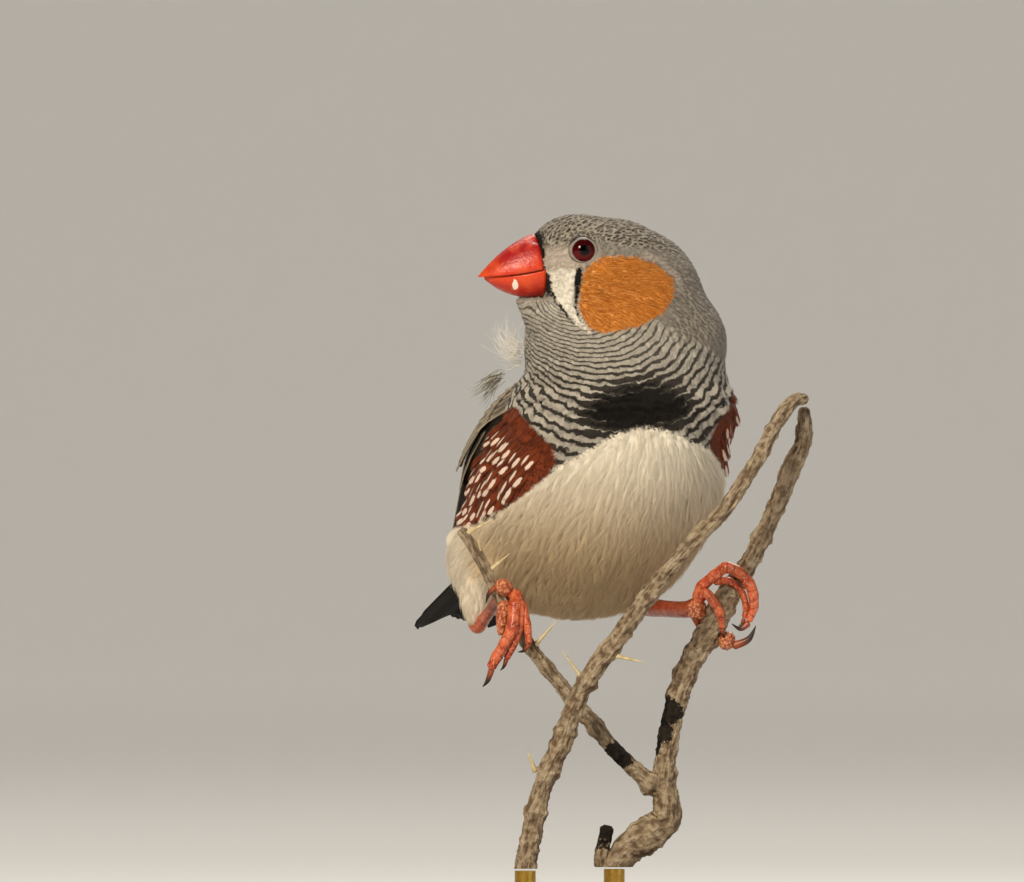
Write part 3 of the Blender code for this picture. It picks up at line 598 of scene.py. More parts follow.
class Nodes:
    """Short words for building one material's nodes."""

    def __init__(self, name: str) -> None:
        """Starts a material with its own shader.

        Args:
            name: name of the material.
        """
        self.material = bpy.data.materials.new(name)
        self.material.use_nodes = True
        self.tree = self.material.node_tree
        self.shader = self.tree.nodes["Principled BSDF"]

    def join(self, value: object, socket: Socket) -> None:
        """Links an output, or sets a number or a web colour.

        Args:
            value: output, number, colour or web colour.
            socket: the input it goes to.
        """
        if isinstance(value, Socket):
            self.tree.links.new(value, socket)
        else:
            socket.default_value = paint(value) if isinstance(value, str) else value

    def attribute(self, name: str) -> Socket:
        """A mesh's named value as a vector.

        Args:
            name: name of the value.

        Returns:
            The vector output.
        """
        node = self.tree.nodes.new("ShaderNodeAttribute")
        node.attribute_name = name
        return node.outputs["Vector"]

    def parts(self, name: str) -> list[Socket]:
        """The three numbers of a mesh's named value.

        Args:
            name: name of the value.

        Returns:
            Three outputs.
        """
        node = self.tree.nodes.new("ShaderNodeSeparateXYZ")
        self.join(self.attribute(name), node.inputs[0])
        return list(node.outputs)

    def place(self) -> Socket:
        """The object's own coordinates in millimetres.

        Returns:
            The vector output.
        """
        coordinates = self.tree.nodes.new("ShaderNodeTexCoord")
        node = self.tree.nodes.new("ShaderNodeVectorMath")
        node.operation = "SCALE"
        node.inputs["Scale"].default_value = 1.0 / MM
        self.join(coordinates.outputs["Object"], node.inputs[0])
        return node.outputs[0]

    def math(self, operation: str, first: object, second: object = 0.0, third: object = 0.0) -> Socket:
        """One step of arithmetic.

        Args:
            operation: Blender's name for it.
            first: first number.
            second: second number.
            third: third number, if it takes one.

        Returns:
            The result.
        """
        node = self.tree.nodes.new("ShaderNodeMath")
        node.operation = operation
        for value, socket in zip((first, second, third), node.inputs):
            self.join(value, socket)
        return node.outputs[0]

    def times(self, first: object, second: object) -> Socket:
        """The product of two numbers."""
        return self.math("MULTIPLY", first, second)

    def scaled(self, value: object, size: object, start: object) -> Socket:
        """A value times a size, from a start."""
        return self.math("MULTIPLY_ADD", value, size, start)

    def rise(self, value: object, low: float, high: float) -> Socket:
        """0 below low, 1 above high, smooth between.

        Args:
            value: number that goes from low to high.
            low: where the rise starts.
            high: where it ends; less than low for a fall.

        Returns:
            The share.
        """
        node = self.tree.nodes.new("ShaderNodeMapRange")
        node.interpolation_type = "SMOOTHSTEP"
        node.inputs["From Min"].default_value = low
        node.inputs["From Max"].default_value = high
        if low > high:
            node.inputs["From Min"].default_value = high
            node.inputs["From Max"].default_value = low
            node.inputs["To Min"].default_value = 1.0
            node.inputs["To Max"].default_value = 0.0
        self.join(value, node.inputs["Value"])
        return node.outputs[0]

    def mix(self, share: object, first: object, second: object) -> Socket:
        """A colour between two, by a share.

        Args:
            share: 0 for the first, 1 for the second.
            first: a colour.
            second: a colour.

        Returns:
            The colour.
        """
        node = self.tree.nodes.new("ShaderNodeMix")
        node.data_type = "RGBA"
        self.join(share, node.inputs[0])
        self.join(first, node.inputs[6])
        self.join(second, node.inputs[7])
        return node.outputs[2]

    def glaze(self, under: object, code: str, share: float, value: object, low: float,
              high: float) -> Socket:
        """A colour laid over another where a value goes from low to high, up to this share."""
        return self.mix(self.times(self.rise(value, low, high), share), under, code)

    def noise(self, where: object, scale: float, detail: float = 2.0) -> Socket:
        """Soft noise about one half.

        Args:
            where: place to read.
            scale: lumps to a millimetre.
            detail: how fine it gets.

        Returns:
            The number.
        """
        node = self.tree.nodes.new("ShaderNodeTexNoise")
        node.inputs["Scale"].default_value = scale
        node.inputs["Detail"].default_value = detail
        self.join(where, node.inputs["Vector"])
        return node.outputs["Fac"]

    def vector(self, first: object, second: object, third: object) -> Socket:
        """A vector from three numbers.

        Args:
            first: x.
            second: y.
            third: z.

        Returns:
            The vector.
        """
        node = self.tree.nodes.new("ShaderNodeCombineXYZ")
        for value, socket in zip((first, second, third), node.inputs):
            self.join(value, socket)
        return node.outputs[0]

    def bump(self, height: object, depth: float, strength: float = 1.0) -> None:
        """Raises the surface by a height, its full range this many millimetres.

        Args:
            height: 0 to 1.
            depth: millimetres.
            strength: share of the effect.
        """
        node = self.tree.nodes.new("ShaderNodeBump")
        node.inputs["Distance"].default_value = depth * MM
        node.inputs["Strength"].default_value = strength
        self.join(height, node.inputs["Height"])
        self.join(node.outputs[0], self.shader.inputs["Normal"])

    def surface(self, colour: object, rough: object, **others: float) -> Finish:
        """Sets the shader's colour, roughness and any other named input.

        Args:
            colour: base colour.
            rough: roughness.
            **others: inputs by name, with _ for a space.

        Returns:
            The material.
        """
        self.join(colour, self.shader.inputs["Base Color"])
        self.join(rough, self.shader.inputs["Roughness"])
        for label, value in others.items():
            self.shader.inputs[label.replace("_", " ").title().replace("Ior", "IOR")].default_value = value
        return self.material


@dataclass(frozen=True)
class Plumage:
    """The bird's feathers, from the values that Markings leaves on the mesh."""

    grey: str = "#979086"
    crown_grey: str = "#9d958a"
    crown_dark: str = "#322a22"
    bar_pale: str = "#bdb6aa"
    bar_dark: str = "#211d1a"
    band: str = "#100e0d"
    cheek: str = "#e4903a"
    cheek_deep: str = "#b8671f"
    # painted highlight: the pale orange laid on the cheek's lighter streaks
    cheek_highlight: str = "#f3bf76"
    white: str = "#efe8da"
    black: str = "#0f0c0a"
    belly: str = "#f5ecda"
    belly_buff: str = "#d4bb95"
    belly_streak: str = "#b39b78"
    chestnut: str = "#7c3413"
    chestnut_deep: str = "#43190a"
    spot: str = "#e6d2c0"
    back: str = "#6f6455"
    lores: str = "#d9cabb"
    dusk: str = "#2c241c"

    def bars(self, nodes: Nodes, where: Socket, fine: Socket, bars: Socket,
             band: Socket) -> tuple[Socket, Socket]:
        """How dark the throat's bars are here, thicker and darker toward the breast band.

        Args:
            nodes: the material being built.
            where: place in millimetres.
            fine: fine noise about one half.
            bars: count of bars passed.
            band: signed distance to the breast band.

        Returns:
            The share of the dark bar, and the bars' saw for the band's edge.
        """
        node = nodes.tree.nodes.new("ShaderNodeSeparateXYZ")
        nodes.join(where, node.inputs[0])
        low = nodes.rise(node.outputs["Z"], 100.0, 86.0)
        wobble = nodes.scaled(nodes.noise(where, 0.42, 2.0), 1.5, bars)
        wobble = nodes.scaled(fine, 0.42, wobble)
        saw = nodes.math("PINGPONG", wobble, 0.5)
        dark = nodes.scaled(nodes.noise(where, 0.9, 1.0), 0.20, 0.045)
        dark = nodes.scaled(low, 0.06, dark)
        dark = nodes.scaled(nodes.rise(band, -3.6, 0.2), 0.30, dark)
        share = nodes.rise(nodes.math("SUBTRACT", dark, saw), -0.06, 0.05)
        return nodes.times(share, nodes.scaled(low, 0.22, 0.74)), saw

    def spots(self, nodes: Nodes, across: object, along: object, ragged: object) -> object:
        """Share of a flank feather's pale spot, one each side of its shaft near the tip.

        Args:
            nodes: the material being built.
            across: -1 to 1 over the feather.
            along: 0 at its root, 1 at its tip.
            ragged: noise that frays the spot.

        Returns:
            The share.
        """
        aside = nodes.math("DIVIDE", nodes.math("SUBTRACT", nodes.math("ABSOLUTE", across), 0.50), 0.22)
        ahead = nodes.math("DIVIDE", nodes.math("SUBTRACT", along, 0.73), 0.22)
        away = nodes.math("ADD", nodes.times(aside, aside), nodes.times(ahead, ahead))
        away = nodes.scaled(ragged, 2.2, away)
        return nodes.rise(away, 2.35, 1.85)

    def material(self, name: str, coat: bool, spotted: bool = False) -> Finish:
        """The finish of the coat, or of the skin under it.

        Args:
            name: name of the material.
            coat: whether the mesh carries the tufts' own values.
            spotted: whether its chestnut feathers carry the pale spots.

        Returns:
            The material.
        """
        nodes = Nodes(name)
        where = nodes.place()
        bars, barred, band = nodes.parts("marks_a")
        cheek, white, black = nodes.parts("marks_b")
        belly, flank, crown = nodes.parts("marks_c")
        buff, back, lores = nodes.parts("marks_d")
        across, along, chance = nodes.parts("tuft")
        fine = nodes.noise(where, 2.4, 3.0)
        frayed = nodes.scaled(fine, 1.5, -0.75)
        streak = nodes.noise(
            nodes.vector(nodes.times(across, 3.2), nodes.times(along, 0.7),
                         nodes.times(chance, 90.0)), 1.6, 2.0)
        if not coat:
            streak = fine

        def within(distance: object, soft: float = 0.22, jag: float = 1.0) -> Socket:
            """Share of a marking from its signed distance, its edge frayed."""
            return nodes.rise(nodes.scaled(frayed, jag, distance), -soft, soft)

        dark_bar, saw = self.bars(nodes, where, fine, bars, band)
        colour = nodes.mix(nodes.rise(barred, 0.1, 0.9), self.grey, self.bar_pale)
        colour = nodes.glaze(colour, "#6a6154", 0.30, streak, 0.42, 0.66)
        colour = nodes.mix(nodes.times(dark_bar, barred), colour, self.bar_dark)
        if coat:
            centre = nodes.times(nodes.rise(nodes.math("ABSOLUTE", across), 0.66, 0.26),
                                nodes.rise(along, 0.38, 0.62))
            centre = nodes.times(centre, nodes.rise(along, 0.99, 0.86))
            centre = nodes.times(centre, nodes.rise(chance, -0.3, 0.4))
            crown_colour = nodes.mix(nodes.rise(streak, 0.35, 0.65), self.crown_grey, "#aaa192")
            crown_colour = nodes.mix(centre, crown_colour, self.crown_dark)
        else:
            crown_colour = "#5d5347"
        colour = nodes.mix(crown, colour, crown_colour)
        colour = nodes.mix(nodes.times(back, 0.9), colour, self.back)
        colour = nodes.mix(nodes.times(lores, 0.68), colour, self.lores)
        edge = nodes.scaled(nodes.math("SUBTRACT", 0.25, saw), 2.6, band)
        colour = nodes.mix(within(edge, 0.5, 1.6), colour, self.band)
        belly_colour = nodes.mix(buff, self.belly, self.belly_buff)
        hair = nodes.times(nodes.rise(streak, 0.42, 0.70), nodes.scaled(buff, 0.26, 0.16))
        belly_colour = nodes.mix(hair, belly_colour, self.belly_streak)
        colour = nodes.mix(within(belly, 0.35, 1.5), colour, belly_colour)
        flank_colour = nodes.mix(nodes.rise(streak, 0.30, 0.62), self.chestnut_deep, self.chestnut)
        if spotted:
            flank_colour = nodes.mix(self.spots(nodes, across, along, fine), flank_colour, self.spot)
        colour = nodes.mix(within(flank, 0.3, 1.0), colour, flank_colour)
        cheek_colour = nodes.mix(nodes.rise(streak, 0.38, 0.61), self.cheek_deep, self.cheek)
        # Painted highlight: pale orange on the cheek's lighter streaks.
        cheek_colour = nodes.mix(nodes.rise(streak, 0.54, 0.74), cheek_colour, self.cheek_highlight)
        colour = nodes.mix(within(cheek, 0.24, 1.2), colour, cheek_colour)
        colour = nodes.mix(within(white, 0.26, 1.3), colour, self.white)
        colour = nodes.mix(within(black, 0.16, 0.7), colour, self.black)
        shade = nodes.scaled(chance, 0.18, 0.02) if coat else 0.14
        colour = nodes.mix(shade, colour, self.dusk)
        nodes.bump(streak, 0.05, 0.6)
        return nodes.surface(colour, 0.86, sheen_weight=0.05, sheen_roughness=0.5, specular_ior_level=0.18)


@dataclass(frozen=True)
class Plain:
    """A finish of one colour with a little mottling."""

    colour: str
    other: str
    rough: float
    scale: float = 1.5
    metal: float = 0.0
    coat: float = 0.0

    def material(self, name: str) -> Finish:
        """The material.

        Args:
            name: name of the material.

        Returns:
            The material.
        """
        nodes = Nodes(name)
        speckle = nodes.noise(nodes.place(), self.scale, 4.0)
        colour = nodes.mix(nodes.rise(speckle, 0.35, 0.65), self.colour, self.other)
        return nodes.surface(colour, self.rough, metallic=self.metal, coat_weight=self.coat)


# Skin


def ellipsoid(axes: Axes | None, spot: Spot, halves: Spot) -> None:
    """Adds a ball at this place of the axes, or of the room, drawn out to these half sizes.

    Args:
        axes: axes it lies along, or None for the room's.
        spot: its middle.
        halves: half sizes along each axis.
    """
    turned = axes.frame if axes else UPRIGHT
    centre = axes.point(*spot) if axes else np.asarray(spot)
    bpy.ops.mesh.primitive_ico_sphere_add(subdivisions=5, radius=1.0, location=tuple(centre * MM))
    made = bpy.context.active_object
    turn = np.eye(4)
    turn[:3, :3] = turned.T * (np.asarray(halves) * MM)
    turn[:3, 3] = centre * MM
    made.matrix_world = Matrix(turn.tolist())


@dataclass
class Skin:
    """One soft body under the coat, in the same forms as the solids."""

    voxel: float = 0.9
    rounds: int = 20
    body: Spot = (27.0, 18.3, 17.5)
    skull: Spot = (10.6, 8.8, 8.4)
    face_depth: float = 0.30
    head_depth: float = 0.50
    trunk_depth: float = 1.15
    under_bill: float = 0.8

    def forms(self) -> list[tuple]:
        """The rounded forms that make up the body.

        Returns:
            Axes, place and half sizes of each.
        """
        return [
            (BODY, (0.0, 0.0, 0.0), self.body),
            (None, (3.5, -6.5, 85.3), (17.3, 15.5, 10.5)),
            (None, (3.6, -8.3, 94.2), (15.1, 12.8, 11.9)),
            (None, (4.2, -9.2, 101.0), (10.8, 10.3, 10.8)),
            (HEAD, (0.0, 0.0, 0.0), self.skull),
            (HEAD, (3.9, 0.0, 3.6), (7.0, 6.6, 5.8)),
            (HEAD, (6.3, 0.0, -4.4), (6.7, 5.6, 4.8)),
            (HEAD, (9.6, 0.0, -2.5), (4.6, 3.0, 1.6)),
            (BODY, (-18.0, -1.0, 0.5), (13.5, 11.0, 9.0)),
            (BODY, (-13.5, -9.6, -4.2), (11.0, 9.4, 9.4)),
            (BODY, (-13.0, 7.5, -2.0), (9.0, 7.5, 7.5)),
            (BODY, (-23.0, -2.0, 0.2), (10.0, 6.5, 5.4)),
            (None, (-16.9, 0.5, 59.6), (3.7, 4.0, 4.2)),
            (None, (4.6, 3.0, 59.5), (4.2, 4.4, 3.2)),
            (None, (-17.9, -4.4, 58.9), (3.0, 3.2, 5.4)),
        ]

    def depth(self, points: Array) -> Array:
        """How far the skin lies below the solids' surface.

        Args:
            points: (n, 3) places in millimetres.

        Returns:
            (n,) millimetres.
        """
        far_from_bill = np.linalg.norm(points - HEAD.point(8.5, 0.0, 1.5), axis=1)
        head = self.face_depth + (self.head_depth - self.face_depth) * smooth_step(3.0, 9.0, far_from_bill)
        low = smooth_step(99.0, 86.0, points[:, 2])
        thigh = smooth_step(64.0, 60.0, points[:, 2]) * smooth_step(6.0, 3.5, np.abs(points[:, 1] + 1.0))
        return (head + (self.trunk_depth - head) * low) * (1.0 - 0.5 * thigh)

    def clear_of_bill(self, points: Array) -> Array:
        """Draws the skin in under the mandibles' surface, so that they lie bare to the face.

        Args:
            points: (n, 3) places in millimetres.

        Returns:
            The places, moved where a mandible covers them.
        """
        steps = HEAD.steps(points)
        bill = Bill()
        share = np.clip((steps[:, 0] - bill.root) / (bill.tip - bill.root), 0.0, 0.97)
        wide = bill.half_width * (1.0 - share**2.3) ** 0.85
        edge = bill.mouth(share)
        top, keel = bill.rim(share, True), bill.rim(share, False)
        behind = smooth_step(8.7, 9.2, steps[:, 0])
        reach = np.hypot(steps[:, 1] / wide, (steps[:, 2] - edge) / (top - edge))
        weight = behind * (steps[:, 2] > edge) * (reach > self.under_bill)
        scale = 1.0 + (self.under_bill / np.maximum(reach, self.under_bill) - 1.0) * weight
        deep = (steps[:, 2] - edge) / (keel - edge)
        section = self.under_bill * wide * np.sqrt(np.maximum(1.0 - deep**2, 0.0))
        shrink = np.minimum(section / np.maximum(np.abs(steps[:, 1]), 1e-6), 1.0)
        weight = behind * (steps[:, 2] <= edge) * smooth_step(-0.3, 0.0, steps[:, 2] - keel)
        steps[:, 1] *= scale * (1.0 + (shrink - 1.0) * weight)
        steps[:, 2] = edge + (steps[:, 2] - edge) * scale
        return np.asarray(HEAD.centre) + steps @ HEAD.frame

    def build(self, markings: Markings) -> Piece:
        """The skin as one closed mesh with the markings' values.

        Args:
            markings: the bird's pattern.

        Returns:
            The skin.
        """
        made = []
        for axes, spot, halves in self.forms():
            ellipsoid(axes, spot, halves)
            made.append(bpy.context.active_object)
        choose(*made)
        bpy.ops.object.join()
        skin = bpy.context.active_object
        skin.name = "skin"
        place_and_rest(skin)
        remesh = skin.modifiers.new("Remesh", "REMESH")
        remesh.mode = "VOXEL"
        remesh.voxel_size = self.voxel * MM
        smooth = skin.modifiers.new("Smooth", "SMOOTH")
        smooth.factor = 0.5
        smooth.iterations = self.rounds
        finer = skin.modifiers.new("Finer", "SUBSURF")
        finer.levels = 1
        finer.render_levels = 1
        apply_all(skin)
        outward(skin)
        points, normals = mesh_arrays(skin)
        points = self.clear_of_bill(points - normals * self.depth(points)[:, None])
        skin.data.vertices.foreach_set("co", (points * MM).ravel())
        skin.data.update()
        add_values(skin.data, markings.values(points))
        skin.data.shade_smooth()
        return skin


def mesh_arrays(piece: Piece) -> tuple[Array, Array]:
    """Places in millimetres and normals of every point of a mesh.

    Args:
        piece: the mesh object.

    Returns:
        (n, 3) places and (n, 3) normals.
    """
    count = len(piece.data.vertices)
    points = np.empty(count * 3)
    piece.data.vertices.foreach_get("co", points)
    normals = np.empty(count * 3)
    piece.data.vertex_normals.foreach_get("vector", normals)
    return points.reshape(-1, 3) / MM, normals.reshape(-1, 3)


# Coat


class Region(Enum):
    """Which part of the body a tuft grows on, as each has its own size of tuft."""

    FACE = 0
    CROWN = 1
    CHEEK = 2
    THROAT = 3
    BREAST = 4
    BELLY = 5
    FLANK = 6
    BACK = 7
    THIGH = 8


@dataclass(frozen=True)
class Tuft:
    """Size of one region's tufts in millimetres: how long, how wide, how far apart, how far they
    stand off at the tip, how much of their length the barbs are loose, how many barbs they show."""

    length: float
    width: float
    apart: float
    lift: float
    loose: float
    barbs: int


TUFTS = {
    Region.FACE: Tuft(1.05, 0.55, 0.30, 0.20, 0.55, 5),
    Region.CROWN: Tuft(1.55, 0.88, 0.45, 0.34, 0.40, 6),
    Region.CHEEK: Tuft(2.30, 0.52, 0.35, 0.36, 0.75, 4),
    Region.THROAT: Tuft(1.75, 0.92, 0.45, 0.38, 0.50, 6),
    Region.BREAST: Tuft(2.60, 1.40, 0.66, 0.58, 0.50, 8),
    Region.BELLY: Tuft(4.30, 0.62, 0.50, 0.74, 0.85, 5),
    Region.FLANK: Tuft(4.80, 2.90, 2.15, 0.90, 0.16, 11),
    Region.BACK: Tuft(3.20, 2.20, 0.95, 0.85, 0.30, 9),
    Region.THIGH: Tuft(2.10, 0.60, 0.45, 0.40, 0.70, 5),
}


@dataclass
class Coat:
    """Small feathers all over the skin, one mesh for each region."""

    seed: int = 11
    tries: int = 5
    bill_root: Spot = (9.0, 0.0, 1.6)
    eye: Spot = (4.0, 6.1, 3.7)
    eye_clear: float = 1.88
    patch: float = 0.003
    most: int = 185000
    cell: float = 0.55
    thigh: Spot = (-17.8, -4.3, 58.6)
    thigh_reach: Spot = (3.4, 3.4, 5.0)

    def region_of(self, points: Array, markings: Markings) -> Array:
        """The region number of each place.

        Args:
            points: (n, 3) places in millimetres.
            markings: the bird's pattern.

        Returns:
            (n,) numbers of Region.
        """
        values = markings.values(points)
        steps = HEAD.steps(points)
        trunk = BODY.steps(points)
        on_head = points[:, 2] > 95.5 - 0.25 * (points[:, 0] - 3.0)
        found = np.full(len(points), Region.BREAST.value)
        found[trunk[:, 2] > 2.5] = Region.BACK.value
        found[points[:, 2] > 90.0] = Region.THROAT.value
        found[(trunk[:, 0] < 14.0) & (trunk[:, 2] > 0.0) & (points[:, 2] < 92.0)] = Region.BACK.value
        found[(values["marks_c"][:, 0] > 0.2)] = Region.BELLY.value
        flank_edge = 0.2 - 1.6 * smooth_step(8.0, 13.0, points[:, 0]) * (values["marks_c"][:, 0] < -0.8)
        found[values["marks_c"][:, 1] > flank_edge] = Region.FLANK.value
        found[on_head] = Region.THROAT.value
        found[on_head & ((steps[:, 2] > 1.5) | (steps[:, 0] < -4.0))] = Region.CROWN.value
        found[on_head & (values["marks_b"][:, 0] > 0.0)] = Region.CHEEK.value
        near_bill = np.linalg.norm(steps - np.asarray(self.bill_root), axis=1)
        near_eye = np.linalg.norm(self.from_eye(steps), axis=1)
        reach = np.where(steps[:, 2] > 4.4, 3.4, 6.2)
        found[on_head & ((near_bill < reach) | (near_eye < 3.0))] = Region.FACE.value
        found[self.near_thigh(points) < 1.0] = Region.THIGH.value
        return found

    def from_eye(self, steps: Array) -> Array:
        """Steps along the head's axes from the nearer eye."""
        return np.abs(steps * [0, 1, 0]) + steps * [1, 0, 1] - np.asarray(self.eye)

    def near_thigh(self, points: Array) -> Array:
        """Distance from the middle of the bird's right thigh, 1 at its edge."""
        return np.linalg.norm((points - np.asarray(self.thigh)) / np.asarray(self.thigh_reach), axis=1)

    def roots(self, skin: Piece, markings: Markings) -> tuple[Array, Array, Array]:
        """Places, normals and regions of the tufts, spread evenly with each region's spacing.

        Args:
            skin: the skin they grow on.
            markings: the bird's pattern.

        Returns:
            (n, 3) places, (n, 3) normals and (n,) region numbers.
        """
        draw = np.random.default_rng(self.seed)
        points, normals = mesh_arrays(skin)
        mesh = skin.data
        mesh.calc_loop_triangles()
        corners = np.empty(len(mesh.loop_triangles) * 3, np.int32)
        mesh.loop_triangles.foreach_get("vertices", corners)
        corners = corners.reshape(-1, 3)
        a, b, c = (points[corners[:, k]] for k in range(3))
        area = 0.5 * np.linalg.norm(np.cross(b - a, c - a), axis=1)
        middle_region = self.region_of((a + b + c) / 3.0, markings)
        apart = np.array([TUFTS[region].apart for region in Region])
        wanted = self.tries * area / apart[middle_region] ** 2
        count = int(wanted.sum())
        pick = draw.choice(len(area), count, p=wanted / wanted.sum())
        share = draw.random((count, 2))
        over = share.sum(1) > 1.0
        share[over] = 1.0 - share[over]
        weights = np.stack([1.0 - share.sum(1), share[:, 0], share[:, 1]], 1)[:, :, None]
        places = (points[corners[pick]] * weights).sum(1)
        lean = unit((normals[corners[pick]] * weights).sum(1))
        regions = middle_region[pick]
        room = apart[regions] * draw.uniform(0.92, 1.08, count)
        kept, cells = [], {}
        keys = np.floor(places / self.cell).astype(int)
        for i in range(count):
            if not self.crowded(places[i], room[i], keys[i], cells):
                cells.setdefault(tuple(keys[i]), []).append(places[i])
                kept.append(i)
        return places[kept], lean[kept], regions[kept]

    def crowded(self, place: Array, room: float, key: Array, cells: dict[tuple, list]) -> bool:
        """Whether a root is already kept within this one's room.

        Args:
            place: the new root.
            room: the distance it keeps from others.
            key: the cell it lies in.
            cells: kept roots by cell.

        Returns:
            True where it has to be left out.
        """
        reach = int(math.ceil(room / self.cell))
        for x, y, z in product(range(-reach, reach + 1), repeat=3):
            for other in cells.get((key[0] + x, key[1] + y, key[2] + z), ()):
                gap = place - other
                if gap @ gap < room**2:
                    return True
        return False

    def lie(self, places: Array) -> Array:
        """The way the feathers point: away from the bill on the head, then down and to the tail.

        Args:
            places: (n, 3) roots.

        Returns:
            (n, 3) directions, not yet level with the skin.
        """
        from_bill = places - HEAD.point(*self.bill_root)
        far = np.linalg.norm(from_bill, axis=1)
        on_head = (1.0 - smooth_step(13.0, 27.0, far))[:, None]
        tailward = -BODY.frame[0] + np.array([0.0, 0.0, -0.45])
        found = unit(from_bill) * (on_head + 0.05) + unit(tailward) * (1.0 - on_head)
        on_thigh = smooth_step(1.25, 0.8, self.near_thigh(places))[:, None]
        return found * (1.0 - on_thigh) + np.array([0.12, -0.10, -1.0]) * on_thigh

    def tufts(self, region: Region, places: Array, normals: Array, tree: bvhtree.BVHTree,
              markings: Markings) -> Sheet:
        """The mesh arrays of one region's tufts.

        Args:
            region: which region.
            places: (n, 3) roots.
            normals: (n, 3) normals of the skin there.
            tree: the skin, to find the nearest place on it.
            markings: the bird's pattern.

        Returns:
            The arrays, with "tuft" holding across, along and chance, and the OFBake patches.
        """
        size = TUFTS[region]
        draw = np.random.default_rng(self.seed + region.value)
        count = len(places)
        lie = self.lie(places)
        turn = draw.normal(0.0, 0.13 + 0.14 * size.loose, count)
        lie = unit(lie - normals * (lie * normals).sum(1, keepdims=True))
        side = np.cross(normals, lie)
        lie = unit(lie * np.cos(turn)[:, None] + side * np.sin(turn)[:, None])
        side = np.cross(normals, lie)
        grow = draw.uniform(0.82, 1.15, count)
        length, width = size.length * grow, size.width * draw.uniform(0.85, 1.12, count)
        ends, end_normals = np.empty_like(places), np.empty_like(places)
        for i in range(count):
            hit, normal, _, _ = tree.find_nearest(Vector(places[i] + lie[i] * length[i]))
            ends[i] = hit
            end_normals[i] = normal
        lift = size.lift * draw.uniform(0.75, 1.15, count)
        ends = ends + end_normals * lift[:, None]
        middle = places + lie * (0.5 * length)[:, None] + normals * (0.62 * lift)[:, None]
        middle_hit = 0.5 * (places + ends) + normals * (0.35 * lift)[:, None]
        middle = 0.5 * (middle + middle_hit)
        starts = places - normals * 0.12
        rows = np.array(self.rows(size))
        chance = draw.random(count)
        spread = draw.uniform(-0.06, 0.06, (count, len(rows)))
        across = rows[None, :, 0] + spread * 0.6
        along = rows[None, :, 1] * (1.0 + spread * rows[:, 2])
        x, v = across[:, :, None], along[:, :, None]
        path = (1 - v) ** 2 * starts[:, None] + 2 * v * (1 - v) * middle[:, None] + v**2 * ends[:, None]
        up = unit(normals[:, None] * (1 - v) + end_normals[:, None] * v)
        half = 0.5 * width[:, None, None] * (0.45 + 0.55 * np.minimum(v / 0.4, 1.0))
        half = half * np.sqrt(np.clip(1.0 - np.clip((v - 0.6) / 0.62, 0.0, 1.0) ** 2, 0.12, 1.0))
        aside = side[:, None] * (x * half)
        cup = up * (-(x**2) * half * 0.30)
        spots = (path + aside + cup).reshape(-1, 3)
        per = len(rows)
        base = np.arange(count)[:, None, None] * per
        triangles = (np.array(self.links(size))[None] + base).reshape(-1, 3)
        values = markings.values(spots)
        values["tuft"] = np.stack([across.ravel(), along.ravel(), np.repeat(chance, per)], 1)
        where = self.unwrap(places)
        local = np.stack([across, along - 0.5], 2) * [0.5 * self.patch, self.patch]
        patches = (where[:, None] + local).reshape(-1, 2)
        return Sheet(spots, triangles.tolist(), values, patches)

    def rows(self, size: Tuft) -> list[tuple[float, float, int]]:
        """Across and along of each point of a tuft, and whether it is a loose tip.

        Args:
            size: the region's tuft.

        Returns:
            One triple for each point.
        """
        columns = size.barbs + 1
        across = np.linspace(-1.0, 1.0, columns)
        found = [(x, v, 0) for v in (0.0, (1.0 - size.loose) * 0.55, 1.0 - size.loose) for x in across]
        round_tip = 1.0 - 0.16 * across**2
        for k in range(size.barbs):
            middle = 0.5 * (across[k] + across[k + 1])
            tip = (0.5 * (round_tip[k] + round_tip[k + 1])) * (1.0 if k % 2 else 0.93)
            between = 1.0 - size.loose * 0.5
            found.append((middle - 0.34 / size.barbs, between, 1))
            found.append((middle + 0.34 / size.barbs, between, 1))
            found.append((middle, tip, 1))
        return found

    def links(self, size: Tuft) -> list[tuple[int, int, int]]:
        """Triangles of one tuft.

        Args:
            size: the region's tuft.

        Returns:
            Corner numbers of each triangle.
        """
        columns = size.barbs + 1
        found = []
        for row in range(2):
            for k in range(size.barbs):
                a = row * columns + k
                found += [(a, a + 1, a + columns + 1), (a, a + columns + 1, a + columns)]
        for k in range(size.barbs):
            root = 2 * columns + k
            barb = 3 * columns + 3 * k
            found += [(root, root + 1, barb + 1), (root, barb + 1, barb), (barb, barb + 1, barb + 2)]
        return found

    def unwrap(self, places: Array) -> Array:
        """Where each root lies on the skin opened out: turn round the neck across, height up.

        Args:
            places: (n, 3) roots.

        Returns:
            (n, 2) places on the unwrap, 0 to 1.
        """
        centre = np.array([2.0, -5.0, 82.0])
        away = places - centre
        turn = np.arctan2(away[:, 0], -away[:, 1]) / (2.0 * math.pi) + 0.5
        rise = np.arctan2(away[:, 2], np.hypot(away[:, 0], away[:, 1])) / math.pi + 0.5
        return np.stack([turn, rise], 1) * (1.0 - 4.0 * self.patch) + 2.0 * self.patch

